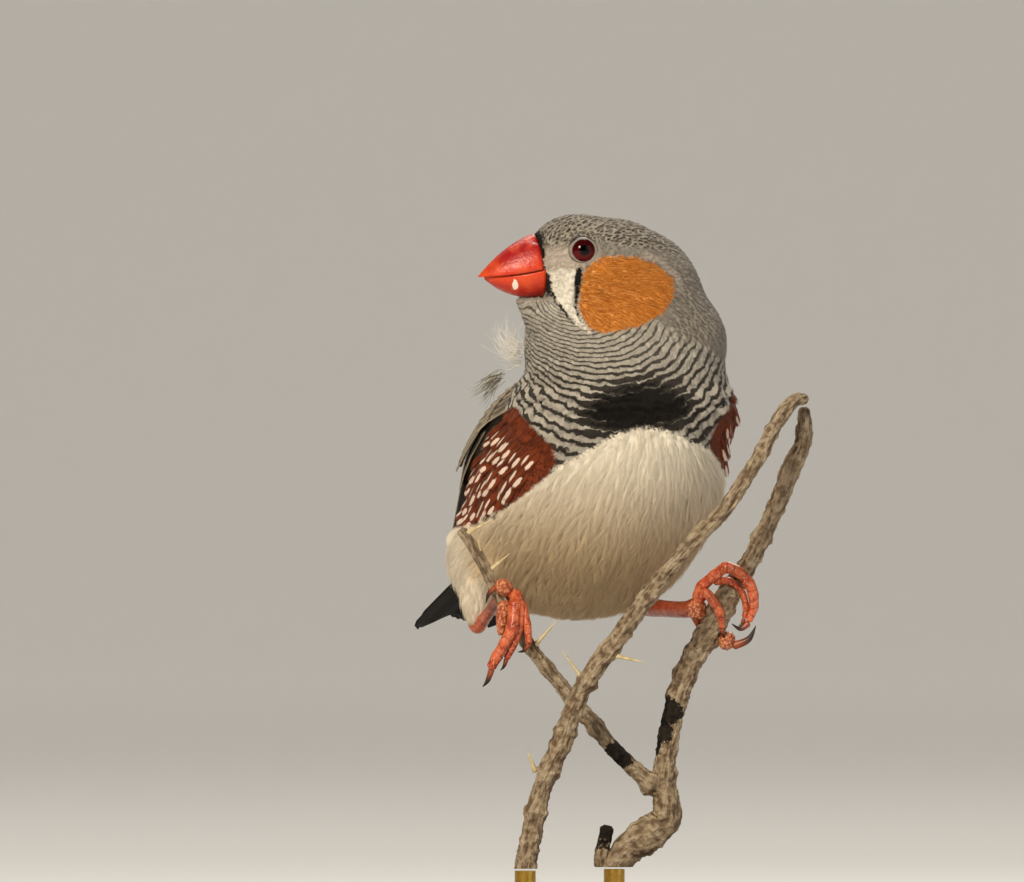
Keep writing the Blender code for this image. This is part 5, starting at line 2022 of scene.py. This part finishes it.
@dataclass
class Leg:
    """One leg in scaled skin, its toes and its claws."""

    side: str
    scute: float = 1.25
    relief: float = 0.03
    joint: float = 0.12
    step: float = 0.12
    slim: float = 0.90

    def banded(self, points: Route, pitch: float, joint: float) -> Array:
        """A smooth route that swells at every scale and, more, at every joint.

        Args:
            points: places and radii, one at each joint.
            pitch: length of a scale.
            joint: swelling at a joint.

        Returns:
            (n, 4) places and radii.
        """
        route = smooth_route(points, 14)
        run = np.concatenate([[0.0], np.cumsum(np.linalg.norm(np.diff(route[:, :3], axis=0), axis=1))])
        even = np.linspace(0.0, run[-1], max(int(run[-1] / self.step), 8))
        joints = run[14:-1:14]
        route = np.stack([np.interp(even, run, route[:, k]) for k in range(4)], 1)
        wave = np.abs(np.sin(math.pi * even / pitch)) ** 0.5
        swell = sum(np.exp(-(((even - spot) / 0.55) ** 2)) for spot in joints) if len(joints) else 0.0
        route[:, 3] *= 1.0 + self.relief * (wave - 0.6) + joint * swell
        return route

    def flesh(self) -> Piece:
        """Shank, pads and toes as one object, with "tone" 0 on toes, 1 on the shank and 2 on pads.

        Returns:
            The object.
        """
        plan = FEET[self.side]
        sheets = []
        for points in plan["toes"]:
            route = self.banded(points, self.scute, self.joint)
            route[:, 3] *= self.slim
            sheets.append((tube(route, 22), 0.0))
        sheets.append((tube(self.banded(plan["shank"], 1.6, 0.0), 26), 1.0))
        for points in plan["pads"]:
            sheets.append((tube(self.banded(points, self.scute, 0.0), 26), 2.0))
        for sheet, tone in sheets:
            sheet.values["tone"] = np.full(len(sheet.places), tone)
        return outward(merged([sheet for sheet, _ in sheets]).piece("foot_" + self.side))

    def claws(self) -> Piece:
        """The four claws of the foot as one object, with "tone" running from root to tip.

        Returns:
            The object.
        """
        sheets = []
        for points in FEET[self.side]["claws"]:
            sheet = tube(smooth_route(points, 8), 16)
            sheet.values["tone"] = sheet.values["route"][:, 0] / sheet.values["route"][:, 0].max()
            sheets.append(sheet)
        return outward(merged(sheets).piece("claws_" + self.side))

    def skin_material(self) -> Finish:
        """Glossy orange-red scutes with darker seams and painted highlights, painted shade on the shank and
        grainy on the pads.

        Returns:
            The material.
        """
        nodes = Nodes("leg_skin")
        where = nodes.place()
        run, tone = nodes.parts("route")[0], nodes.parts("tone")[0]
        cloud = nodes.noise(where, 0.7, 2.0)
        fine = nodes.noise(where, 3.0, 3.0)
        shank, pad = nodes.rise(tone, 0.4, 0.9), nodes.rise(tone, 1.5, 1.9)
        shank = nodes.math("SUBTRACT", shank, pad)
        wobble = nodes.scaled(cloud, 2.4, run)
        saw = nodes.math("PINGPONG", nodes.math("DIVIDE", wobble, self.scute), 0.5)
        seam = nodes.times(nodes.rise(saw, 0.07, 0.01), nodes.rise(fine, 0.36, 0.56))
        grains = nodes.tree.nodes.new("ShaderNodeTexVoronoi")
        grains.inputs["Scale"].default_value = 2.3
        nodes.join(where, grains.inputs["Vector"])
        grain = grains.outputs["Distance"]
        colour = nodes.mix(nodes.rise(cloud, 0.38, 0.60), "#ab3c1a", "#d2653a")
        # Painted highlight: pale peach patches by noise over the scutes.
        colour = nodes.glaze(colour, "#f0a884", 0.50, fine, 0.50, 0.66)
        colour = nodes.mix(nodes.times(seam, 0.65), colour, "#7c2310")
        # Painted shade: the shank is darkened toward deep red brown, less near the bird's right heel.
        spot = nodes.tree.nodes.new("ShaderNodeSeparateXYZ")
        nodes.join(where, spot.inputs[0])
        low = nodes.rise(spot.outputs["Z"], 57.5, 55.5)
        heel = nodes.times(nodes.rise(spot.outputs["X"], -14.5, -16.5), low)
        deep = nodes.times(shank, nodes.scaled(heel, -0.50, 0.66))
        colour = nodes.mix(deep, colour, "#64200f")
        granular = nodes.mix(nodes.rise(grain, 0.30, 0.62), "#e59a6c", "#a3502c")
        colour = nodes.mix(nodes.times(pad, 0.85), colour, granular)
        height = nodes.scaled(seam, -0.9, nodes.times(fine, 0.5))
        height = nodes.math("SUBTRACT", height, nodes.times(nodes.times(pad, grain), 1.6))
        nodes.bump(height, 0.16, 0.9)
        return nodes.surface(colour, 0.36, specular_ior_level=0.5, coat_weight=0.1)

    def claw_material(self) -> Finish:
        """Horn that darkens from a brown orange root to a blackish tip.

        Returns:
            The material.
        """
        nodes = Nodes("claw_horn")
        tone = nodes.parts("tone")[0]
        colour = nodes.mix(nodes.rise(tone, 0.12, 0.62), "#9a4a26", "#2b1c17")
        return nodes.surface(colour, 0.34)


# Perch

# World places in millimetres with the twig's radius
BRANCH = (
    (1.6, -7.0, 19.4, 1.9), (3.6, -7.2, 22.4, 2.1), (6.0, -7.5, 24.4, 2.3), (9.3, -8.0, 27.2, 2.1),
    (9.2, -8.4, 31.6, 1.7), (9.6, -9.2, 38.2, 1.45), (11.2, -10.0, 45.0, 1.5), (12.9, -10.6, 49.6, 1.6),
    (15.8, -11.4, 54.2, 1.75), (18.0, -11.8, 58.8, 1.7), (21.0, -12.2, 63.4, 1.55), (24.9, -13.0, 71.4, 1.4),
    (27.0, -14.0, 76.8, 1.6), (28.6, -14.6, 80.4, 1.35), (29.0, -15.0, 83.6, 1.2), (28.9, -15.2, 85.4, 1.0),
)
SIDE_TWIG = (
    (9.0, -8.4, 31.0, 1.2), (7.0, -8.8, 32.4, 1.25), (2.0, -10.4, 37.0, 1.05), (-2.1, -11.6, 42.0, 1.15),
    (-6.0, -12.6, 46.8, 0.95), (-9.9, -13.4, 51.6, 1.0), (-13.2, -14.0, 57.0, 0.95),
    (-15.4, -14.4, 61.0, 0.9), (-17.6, -14.8, 65.2, 0.95), (-19.7, -15.2, 68.2, 0.8),
)
STUMP = ((15.9, -11.4, 54.6, 1.5), (17.2, -12.4, 57.2, 1.65), (18.4, -13.6, 59.8, 1.6))
STUB = ((0.3, -7.2, 20.4, 1.15), (0.3, -7.6, 22.6, 1.05), (1.0, -7.9, 25.8, 0.8))
FRONT_TWIG = (
    (-10.8, -19.0, 19.4, 1.5), (-9.9, -19.0, 24.7, 1.45), (-8.3, -19.1, 31.6, 1.35),
    (-5.6, -19.4, 38.1, 1.4), (-3.7, -19.6, 43.4, 1.3), (-1.0, -20.2, 48.4, 1.35),
    (2.0, -21.2, 52.3, 1.25), (5.9, -23.2, 58.0, 1.3), (9.6, -24.8, 62.8, 1.2),
    (13.4, -25.4, 67.2, 1.2), (17.6, -25.2, 71.4, 1.25), (22.4, -23.6, 78.7, 1.15),
    (24.5, -22.0, 82.8, 1.1), (27.1, -19.2, 86.4, 1.15), (29.0, -17.6, 87.0, 0.9),
)
THORNS = (
    ((-9.3, -19.0, 34.2), (-10.4, -19.8, 37.1)),
    ((-2.1, -20.0, 46.6), (-5.5, -21.4, 51.3)),
    ((1.8, -21.2, 50.6), (6.3, -21.8, 49.6)),
)
SIDE_THORNS = (
    ((-9.5, -13.4, 51.7), (-6.1, -14.6, 55.6)),
    ((-16.0, -14.5, 62.4), (-12.9, -15.4, 65.0)),
    ((-16.9, -14.6, 64.0), (-17.4, -15.6, 67.4)),
    ((-12.6, -13.9, 56.2), (-10.6, -14.4, 56.4)),
    ((-19.3, -15.2, 67.7), (-15.6, -16.2, 69.7)),
)


@dataclass
class Twig:
    """A length of dry twig with lumpy bark."""

    points: Route
    sides: int = 40
    seed: int = 7
    ridge: float = 0.16
    knob: float = 0.15
    cut: float = 20.3

    def sheet(self) -> Sheet:
        """The twig as a tube whose surface carries lumps, pits and knots.

        Returns:
            The arrays, with "raised" holding the height of the bark.
        """
        route = smooth_route(self.points, 6)
        run = np.concatenate([[0.0], np.cumsum(np.linalg.norm(np.diff(route[:, :3], axis=0), axis=1))])
        even = np.linspace(0.0, run[-1], int(run[-1] / 0.26))
        route = np.stack([np.interp(even, run, route[:, k]) for k in range(4)], 1)
        draw = np.random.default_rng(self.seed)
        for knot in draw.uniform(0.0, run[-1], max(int(run[-1] / 4.5), 2)):
            route[:, 3] *= 1.0 + self.knob * draw.uniform(0.4, 1.2) * np.exp(-(((even - knot) / 0.75) ** 2))
        route[:, 3] *= 1.0 - 0.14 * smooth_step(56.0, 66.0, route[:, 2])
        sheet = tube(route, self.sides)
        marks = sheet.values["route"]
        ring = marks[:, 1] * 2.0 * math.pi
        raised = np.empty(len(ring))
        for i, (length, angle) in enumerate(zip(marks[:, 0], ring)):
            east, north = math.cos(angle), math.sin(angle)
            fibre = noise.noise(Vector((east * 2.4, north * 2.4, length * 0.42 + self.seed)))
            lump = noise.noise(Vector((east * 2.0, north * 2.0, length * 1.25 + 2.0 * self.seed)))
            pit = noise.noise(Vector((east * 4.6, north * 4.6, length * 2.1 + 3.0 * self.seed)))
            raised[i] = 1.1 * fibre + 1.0 * lump + 0.8 * pit
        sheet.values["raised"] = raised
        centres = np.repeat(sheet.places.reshape(-1, self.sides, 3).mean(1), self.sides, axis=0)
        away = unit(sheet.places - centres)
        sheet.places = sheet.places + away * (raised * self.ridge * np.minimum(marks[:, 2], 1.6))[:, None]
        sheet.places[:, 2] = np.maximum(sheet.places[:, 2], self.cut)
        return sheet


def spike(base: tuple[float, ...], tip: tuple[float, ...]) -> Sheet:
    """One thorn, straight and sharp.

    Args:
        base: where it leaves the twig.
        tip: its point.

    Returns:
        The arrays.
    """
    base, run = np.asarray(base), np.subtract(tip, base)
    shares = ((0.0, 0.46), (0.25, 0.30), (0.6, 0.19), (1.0, 0.05))
    return tube(smooth_route(tuple((*(base + share * run), radius) for share, radius in shares), 4), 12)


@dataclass
class Perch:
    """The two twigs the bird grips, with their thorns."""

    # Near-black patches on the bark: middle and reach in millimetres.
    dark_patches: tuple[tuple[float, float, float, float], ...] = (
        (9.6, -10.2, 42.6, 2.3), (8.6, -10.0, 39.6, 1.9), (8.0, -9.2, 37.4, 1.3), (2.1, -10.8, 36.7, 1.7),
        (3.4, -10.4, 35.6, 1.3), (0.9, -7.9, 25.6, 1.9), (0.4, -7.9, 23.6, 1.1),
    )

    def branch(self) -> Piece:
        """The forked branch on the right, with the cut stump beside the bird's left foot.

        Returns:
            The object.
        """
        lengths = ((BRANCH, 44, 3), (SIDE_TWIG, 32, 5), (STUMP, 32, 6), (STUB, 28, 8))
        sheets = [Twig(points, sides, seed).sheet() for points, sides, seed in lengths]
        return outward(merged(sheets).piece("forked_branch"))

    def front(self) -> Piece:
        """The twig that crosses in front."""
        return outward(Twig(FRONT_TWIG, 36, 12).sheet().piece("front_twig"))

    def thorns(self, pairs: tuple, name: str) -> Piece:
        """The thorns of one twig."""
        return outward(merged([spike(base, tip) for base, tip in pairs]).piece(name))

    def material(self) -> Finish:
        """Tan bark, darker in its pits partly as its own colour and partly as painted shade, with a painted
        highlight on its raised parts and near-black patches at listed places.

        Returns:
            The material.
        """
        nodes = Nodes("bark")
        where = nodes.place()
        run, around, _ = nodes.parts("route")
        raised = nodes.parts("raised")[0]
        angle = nodes.times(around, 2.0 * math.pi)
        fibre = nodes.noise(nodes.vector(nodes.times(nodes.math("COSINE", angle), 3.0),
                                         nodes.times(nodes.math("SINE", angle), 3.0),
                                         nodes.times(run, 0.24)), 1.9, 6.0)
        patchy = nodes.noise(where, 0.30, 3.0)
        fine = nodes.noise(where, 2.2, 5.0)
        level = nodes.scaled(nodes.math("SUBTRACT", fibre, 0.5), 1.6, raised)
        # Darker where the bark lies low, partly its own colour and partly painted shade in the pits; the
        # pale glaze on raised bark is a painted highlight.
        colour = nodes.mix(nodes.rise(level, -0.75, 0.25), "#75604b", "#ab967a")
        colour = nodes.glaze(colour, "#cfbda2", 0.55, level, 0.10, 0.80)
        colour = nodes.glaze(colour, "#8b7a66", 0.30, patchy, 0.50, 0.66)
        colour = nodes.glaze(colour, "#44352a", 0.48, fibre, 0.41, 0.30)
        colour = nodes.glaze(colour, "#3a2d23", 0.60, fine, 0.38, 0.31)
        for x, y, z, reach in self.dark_patches:
            node = nodes.tree.nodes.new("ShaderNodeVectorMath")
            node.operation = "DISTANCE"
            node.inputs[1].default_value = (x, y, z)
            nodes.join(where, node.inputs[0])
            far = nodes.scaled(fine, 1.8, nodes.math("SUBTRACT", node.outputs["Value"], 0.9))
            colour = nodes.mix(nodes.times(nodes.rise(far, reach + 0.12, reach - 0.20), 0.95), colour,
                               "#12100e")
        nodes.bump(nodes.math("ADD", fibre, fine), 0.55, 1.0)
        return nodes.surface(colour, 0.88, specular_ior_level=0.2)


@dataclass
class Wisps:
    """Loose down at the bird's right shoulder: fine curling barbs in bunches."""

    seed: int = 21
    thick: float = 0.04

    def barb(self, root: Array, way: Array, curl: Array, length: float) -> Sheet:
        """One fine barb that curls over toward its tip.

        Args:
            root: where it starts.
            way: its first direction.
            curl: the way it bends.
            length: its length.

        Returns:
            The arrays.
        """
        share = np.linspace(0.0, 1.0, 9)[:, None]
        spots = root + way * (share * length * (1.0 - 0.35 * share)) + curl * (share**2 * length * 0.75)
        radii = self.thick * (1.0 - 0.7 * share)
        return tube(np.hstack([spots, radii]), 4, False)

    def bunch(self, draw: np.random.Generator, count: int, root: tuple[float, ...], way: tuple[float, ...],
              curl: tuple[float, ...], reach: tuple[float, float]) -> list[Sheet]:
        """Barbs from about one root, each with its own way and curl.

        Args:
            draw: source of chance.
            count: how many barbs.
            root: the place they start about.
            way: their common direction.
            curl: their common bend.
            reach: least and greatest length.

        Returns:
            One sheet for each barb.
        """
        made = []
        for _ in range(count):
            start = np.asarray(root) + draw.normal(0.0, [0.45, 0.5, 0.55])
            aim = unit(np.asarray(way) + draw.normal(0.0, 0.30, 3))
            bend = np.asarray(curl) * draw.uniform(0.2, 1.2) + draw.normal(0.0, 0.16, 3)
            made.append(self.barb(start, aim, bend, draw.uniform(*reach)))
        return made

    def build(self) -> list[Piece]:
        """White wisps above and greenish brown ones below, as two objects.

        Returns:
            The white and the brown object.
        """
        draw = np.random.default_rng(self.seed)
        white = self.bunch(draw, 50, (-11.6, -11.6, 93.4), (-1.0, -0.2, 0.05), (0.1, 0.0, 0.75), (3.6, 6.8))
        white += self.bunch(draw, 35, (-11.4, -11.8, 94.4), (-1.0, -0.2, 0.25), (0.3, 0.0, 0.6), (2.6, 5.4))
        white += self.bunch(draw, 25, (-11.6, -11.0, 92.6), (-1.0, -0.2, -0.3), (0.0, 0.0, 0.5), (2.0, 4.0))
        low = (-14.2, -10.2, 90.2)
        brown = self.bunch(draw, 36, low, (-0.9, -0.2, -0.45), (-0.2, 0.0, -0.5), (3.2, 5.6))
        low = (-15.2, -10.2, 89.2)
        brown += self.bunch(draw, 24, low, (-0.9, -0.2, -0.8), (-0.2, 0.0, -0.2), (2.4, 4.8))
        return [merged(white).piece("white_wisps"), merged(brown).piece("brown_wisps")]


# Stand and room


@dataclass
class Stand:
    """A turned wooden base and two brass rods."""

    radius: float = 45.0
    thick: float = 8.0
    rod: float = 1.5
    rods: Outline = ((2.0, -7.0), (-10.7, -19.0))
    cut: float = 20.3
    gap: float = 0.3

    def turned(self, name: str, spot: tuple[float, float], radius: float, low: float, high: float,
               sides: int) -> Piece:
        """An upright round bar.

        Args:
            name: name of the object.
            spot: its place on the floor.
            radius: half its width.
            low: height of its underside.
            high: height of its top.
            sides: corners round it.

        Returns:
            The object.
        """
        bpy.ops.object.select_all(action="DESELECT")
        middle = (spot[0] * MM, spot[1] * MM, 0.5 * (low + high) * MM)
        size = {"vertices": sides, "radius": radius * MM, "depth": (high - low) * MM}
        bpy.ops.mesh.primitive_cylinder_add(**size, location=middle)
        bar = place_and_rest(bpy.context.active_object)
        bar.name = name
        return bar

    def base(self) -> Piece:
        """The round base with a softened rim.

        Returns:
            The object.
        """
        base = self.turned("stand_base_turned", (0.0, 0.0), self.radius, 0.0, self.thick, 160)
        bevel = base.modifiers.new("Bevel", "BEVEL")
        bevel.width = 1.4 * MM
        bevel.segments = 5
        bevel.limit_method = "ANGLE"
        apply_all(base)
        bpy.ops.object.shade_smooth_by_angle(angle=math.radians(30.0))
        return base

    def rod_at(self, spot: tuple[float, float], name: str) -> Piece:
        """One short upright rod.

        Args:
            spot: its place on the base.
            name: name of the object.

        Returns:
            The object.
        """
        rod = self.turned(name, spot, self.rod, self.thick, self.cut - self.gap, 48)
        bpy.ops.object.shade_smooth_by_angle(angle=math.radians(30.0))
        return rod

    def wood(self) -> Finish:
        """Oiled dark hardwood with straight grain.

        Returns:
            The material.
        """
        nodes = Nodes("stand_wood")
        stretch = nodes.tree.nodes.new("ShaderNodeMapping")
        stretch.inputs["Scale"].default_value = (0.05, 0.9, 0.9)
        nodes.join(nodes.place(), stretch.inputs["Vector"])
        grain = nodes.noise(stretch.outputs[0], 1.0, 5.0)
        colour = nodes.mix(nodes.rise(grain, 0.38, 0.62), "#35221a", "#5d3f2c")
        nodes.bump(grain, 0.04, 0.5)
        return nodes.surface(colour, 0.42, coat_weight=0.12)


@dataclass
class Room:
    """Floor, backdrop, lights and camera."""

    distance: float = 3000.0
    aim: tuple[float, float] = (-12.571, 81.0)
    lens: float = 738.3
    bend: float = 2.5
    flat: float = 4.6

    def build(self) -> None:
        """Makes the room round the model."""
        finish = Nodes("pale_floor").surface("#d8d5cf", 0.9)
        floor = self.sweep()
        floor.data.materials.append(finish)
        self.light("key", (-0.32, -0.78, 0.55), 0.24, 8.4, (1.0, 0.90, 0.74))
        self.light("fill", (0.75, -0.5, 0.35), 0.7, 1.1, (0.88, 0.93, 1.0))
        self.light("rim", (0.25, 0.62, 0.55), 0.4, 2.2, (1.0, 0.95, 0.9))
        self.light("top", (0.0, 0.9, 1.9), 1.2, 26.0, (1.0, 0.97, 0.93))
        self.light("wall", (0.0, 4.2, 3.4), 4.0, 88.0, (1.0, 0.97, 0.93), (0.0, 4.8, 0.0))
        world = bpy.data.worlds.new("room")
        bpy.context.scene.world = world
        world.use_nodes = True
        world.node_tree.nodes["Background"].inputs["Color"].default_value = (0.84, 0.88, 0.95, 1.0)
        world.node_tree.nodes["Background"].inputs["Strength"].default_value = 0.26
        bpy.context.scene.view_settings.view_transform = "Standard"
        camera = bpy.data.objects.new("camera", bpy.data.cameras.new("camera"))
        bpy.context.scene.collection.objects.link(camera)
        camera.location = (self.aim[0] * MM, -self.distance * MM, self.aim[1] * MM)
        camera.rotation_euler = (math.pi / 2.0, 0.0, 0.0)
        camera.data.lens = self.lens
        camera.data.clip_start = 0.1
        camera.data.clip_end = 40.0
        bpy.context.scene.camera = camera

    def sweep(self) -> Piece:
        """A floor that bends up into the backdrop behind.

        Returns:
            The object.
        """
        bpy.ops.object.select_all(action="DESELECT")
        bpy.ops.mesh.primitive_plane_add(size=16.0, location=(0.0, self.flat + self.bend - 8.0, 0.0))
        floor = place_and_rest(bpy.context.active_object)
        floor.name = "floor"
        back = max(vertex.co.y for vertex in floor.data.vertices)
        for edge in floor.data.edges:
            edge.select = all(floor.data.vertices[k].co.y > back - 0.01 for k in edge.vertices)
        bpy.ops.object.mode_set(mode="EDIT")
        bpy.ops.mesh.select_mode(type="EDGE")
        bpy.ops.mesh.extrude_region_move(TRANSFORM_OT_translate={"value": (0.0, 0.0, 6.0)})
        bpy.ops.object.mode_set(mode="OBJECT")
        for edge in floor.data.edges:
            ends = [floor.data.vertices[k].co for k in edge.vertices]
            edge.select = all(end.y > back - 0.01 and end.z < 0.01 for end in ends)
        for vertex in floor.data.vertices:
            vertex.select = vertex.co.y > back - 0.01 and vertex.co.z < 0.01
        for face in floor.data.polygons:
            face.select = False
        bpy.ops.object.mode_set(mode="EDIT")
        bpy.ops.mesh.bevel(offset=self.bend, segments=32, profile=0.5)
        bpy.ops.mesh.select_mode(type="VERT")
        bpy.ops.object.mode_set(mode="OBJECT")
        floor.data.shade_smooth()
        return floor

    def light(self, name: str, spot: Spot, size: float, power: float,
              colour: Spot, aim: Spot = (0.0, -0.01, 0.08)) -> None:
        """A soft square lamp that looks at a point, the model unless another is given.

        Args:
            name: name of the lamp.
            spot: its place in metres.
            size: length of its side.
            power: watts.
            colour: its colour.
            aim: the point it looks at.
        """
        lamp = bpy.data.lights.new(name, "AREA")
        lamp.size = size
        lamp.energy = power
        lamp.color = colour
        made = bpy.data.objects.new(name, lamp)
        bpy.context.scene.collection.objects.link(made)
        made.location = spot
        made.rotation_euler = (Vector(aim) - Vector(spot)).to_track_quat("-Z", "Y").to_euler()


# The whole model


def wear(piece: Piece, material: Finish, slot: str, *nodes: str) -> None:
    """Gives a piece its finish, hangs it from the root and hides the CAD nodes it stands for.

    Args:
        piece: the piece.
        material: its finish.
        slot: not used.
        *nodes: the nodes it stands for, if any.
    """
    piece.data.materials.clear()
    piece.data.materials.append(material)
    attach(piece, "root")
    if nodes:
        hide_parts(*nodes)
    log.info("%s: %d faces", piece.name, len(piece.data.polygons))


def main() -> None:
    """Builds the classes in order, logging each piece's size."""
    logging.basicConfig(level=logging.INFO, format="%(message)s")
    markings = Markings()
    skin = Skin().build(markings)
    flesh = ("torso", "neck", "head", "thigh_left", "thigh_right")
    wear(skin, Plumage().material("skin", False), "plumage_body", *flesh)
    coat = Plumage().material("coat", True)
    flank = Plumage().material("flank_coat", True, True)
    for piece, region in Coat().build(skin, markings):
        wear(piece, flank if region is Region.FLANK else coat, "plumage_body")
    quill = Quill(True).material("wing_quill")
    for side, name in ((1, "wing_left"), (-1, "wing_right")):
        wear(Wing(side).build(), quill, "plumage_wing", name)
    wear(Tail().build(), Quill(False).material("tail_quill"), "plumage_tail", "tail")
    bill = Bill()
    wear(bill.half(True), bill.material("upper_horn", True), "bill_horn", "bill_upper")
    wear(bill.half(False), bill.material("lower_horn", False), "bill_horn", "bill_lower")
    lid = Plain("#958b7f", "#7d746a", 0.7, 3.0).material("lid_skin")
    glossy = Eye(1).material()
    for side, name in ((1, "eye_left"), (-1, "eye_right")):
        eye = Eye(side)
        wear(eye.ball(), glossy, "eye", name)
        wear(eye.lids(), lid, "plumage_grey")
    scaled, horn = Leg("left").skin_material(), Leg("left").claw_material()
    for side in ("right", "left"):
        leg = Leg(side)
        wear(leg.flesh(), scaled, "leg_skin", "leg_" + side)
        wear(leg.claws(), horn, "claw_horn", *("claw_%s_%d" % (side, number) for number in range(1, 5)))
    perch = Perch()
    bark = perch.material()
    straw = Plain("#dccba2", "#bfa777", 0.6, 1.0).material("thorn_wood")
    wear(perch.branch(), bark, "bark", "perch_branch")
    wear(perch.thorns(SIDE_THORNS, "side_thorns"), straw, "bark")
    wear(perch.front(), bark, "bark", "perch_front_twig")
    wear(perch.thorns(THORNS, "front_thorns"), straw, "bark")
    white, brown = Wisps().build()
    wear(white, Plain("#f2eee6", "#dcd6ca", 0.8).material("white_down"), "plumage_body")
    wear(brown, Plain("#82774f", "#554b33", 0.8).material("brown_down"), "plumage_body")
    stand = Stand()
    wear(stand.base(), stand.wood(), "stand_wood", "stand_base")
    brass = Plain("#c9a24f", "#b78f3f", 0.28, 2.0, metal=1.0).material("rod_brass")
    for spot, name in zip(stand.rods, ("stand_rod_back", "stand_rod_front")):
        wear(stand.rod_at(spot, name + "_turned"), brass, "rod_brass", name)
    Room().build()


if __name__ == "__main__":
    main()
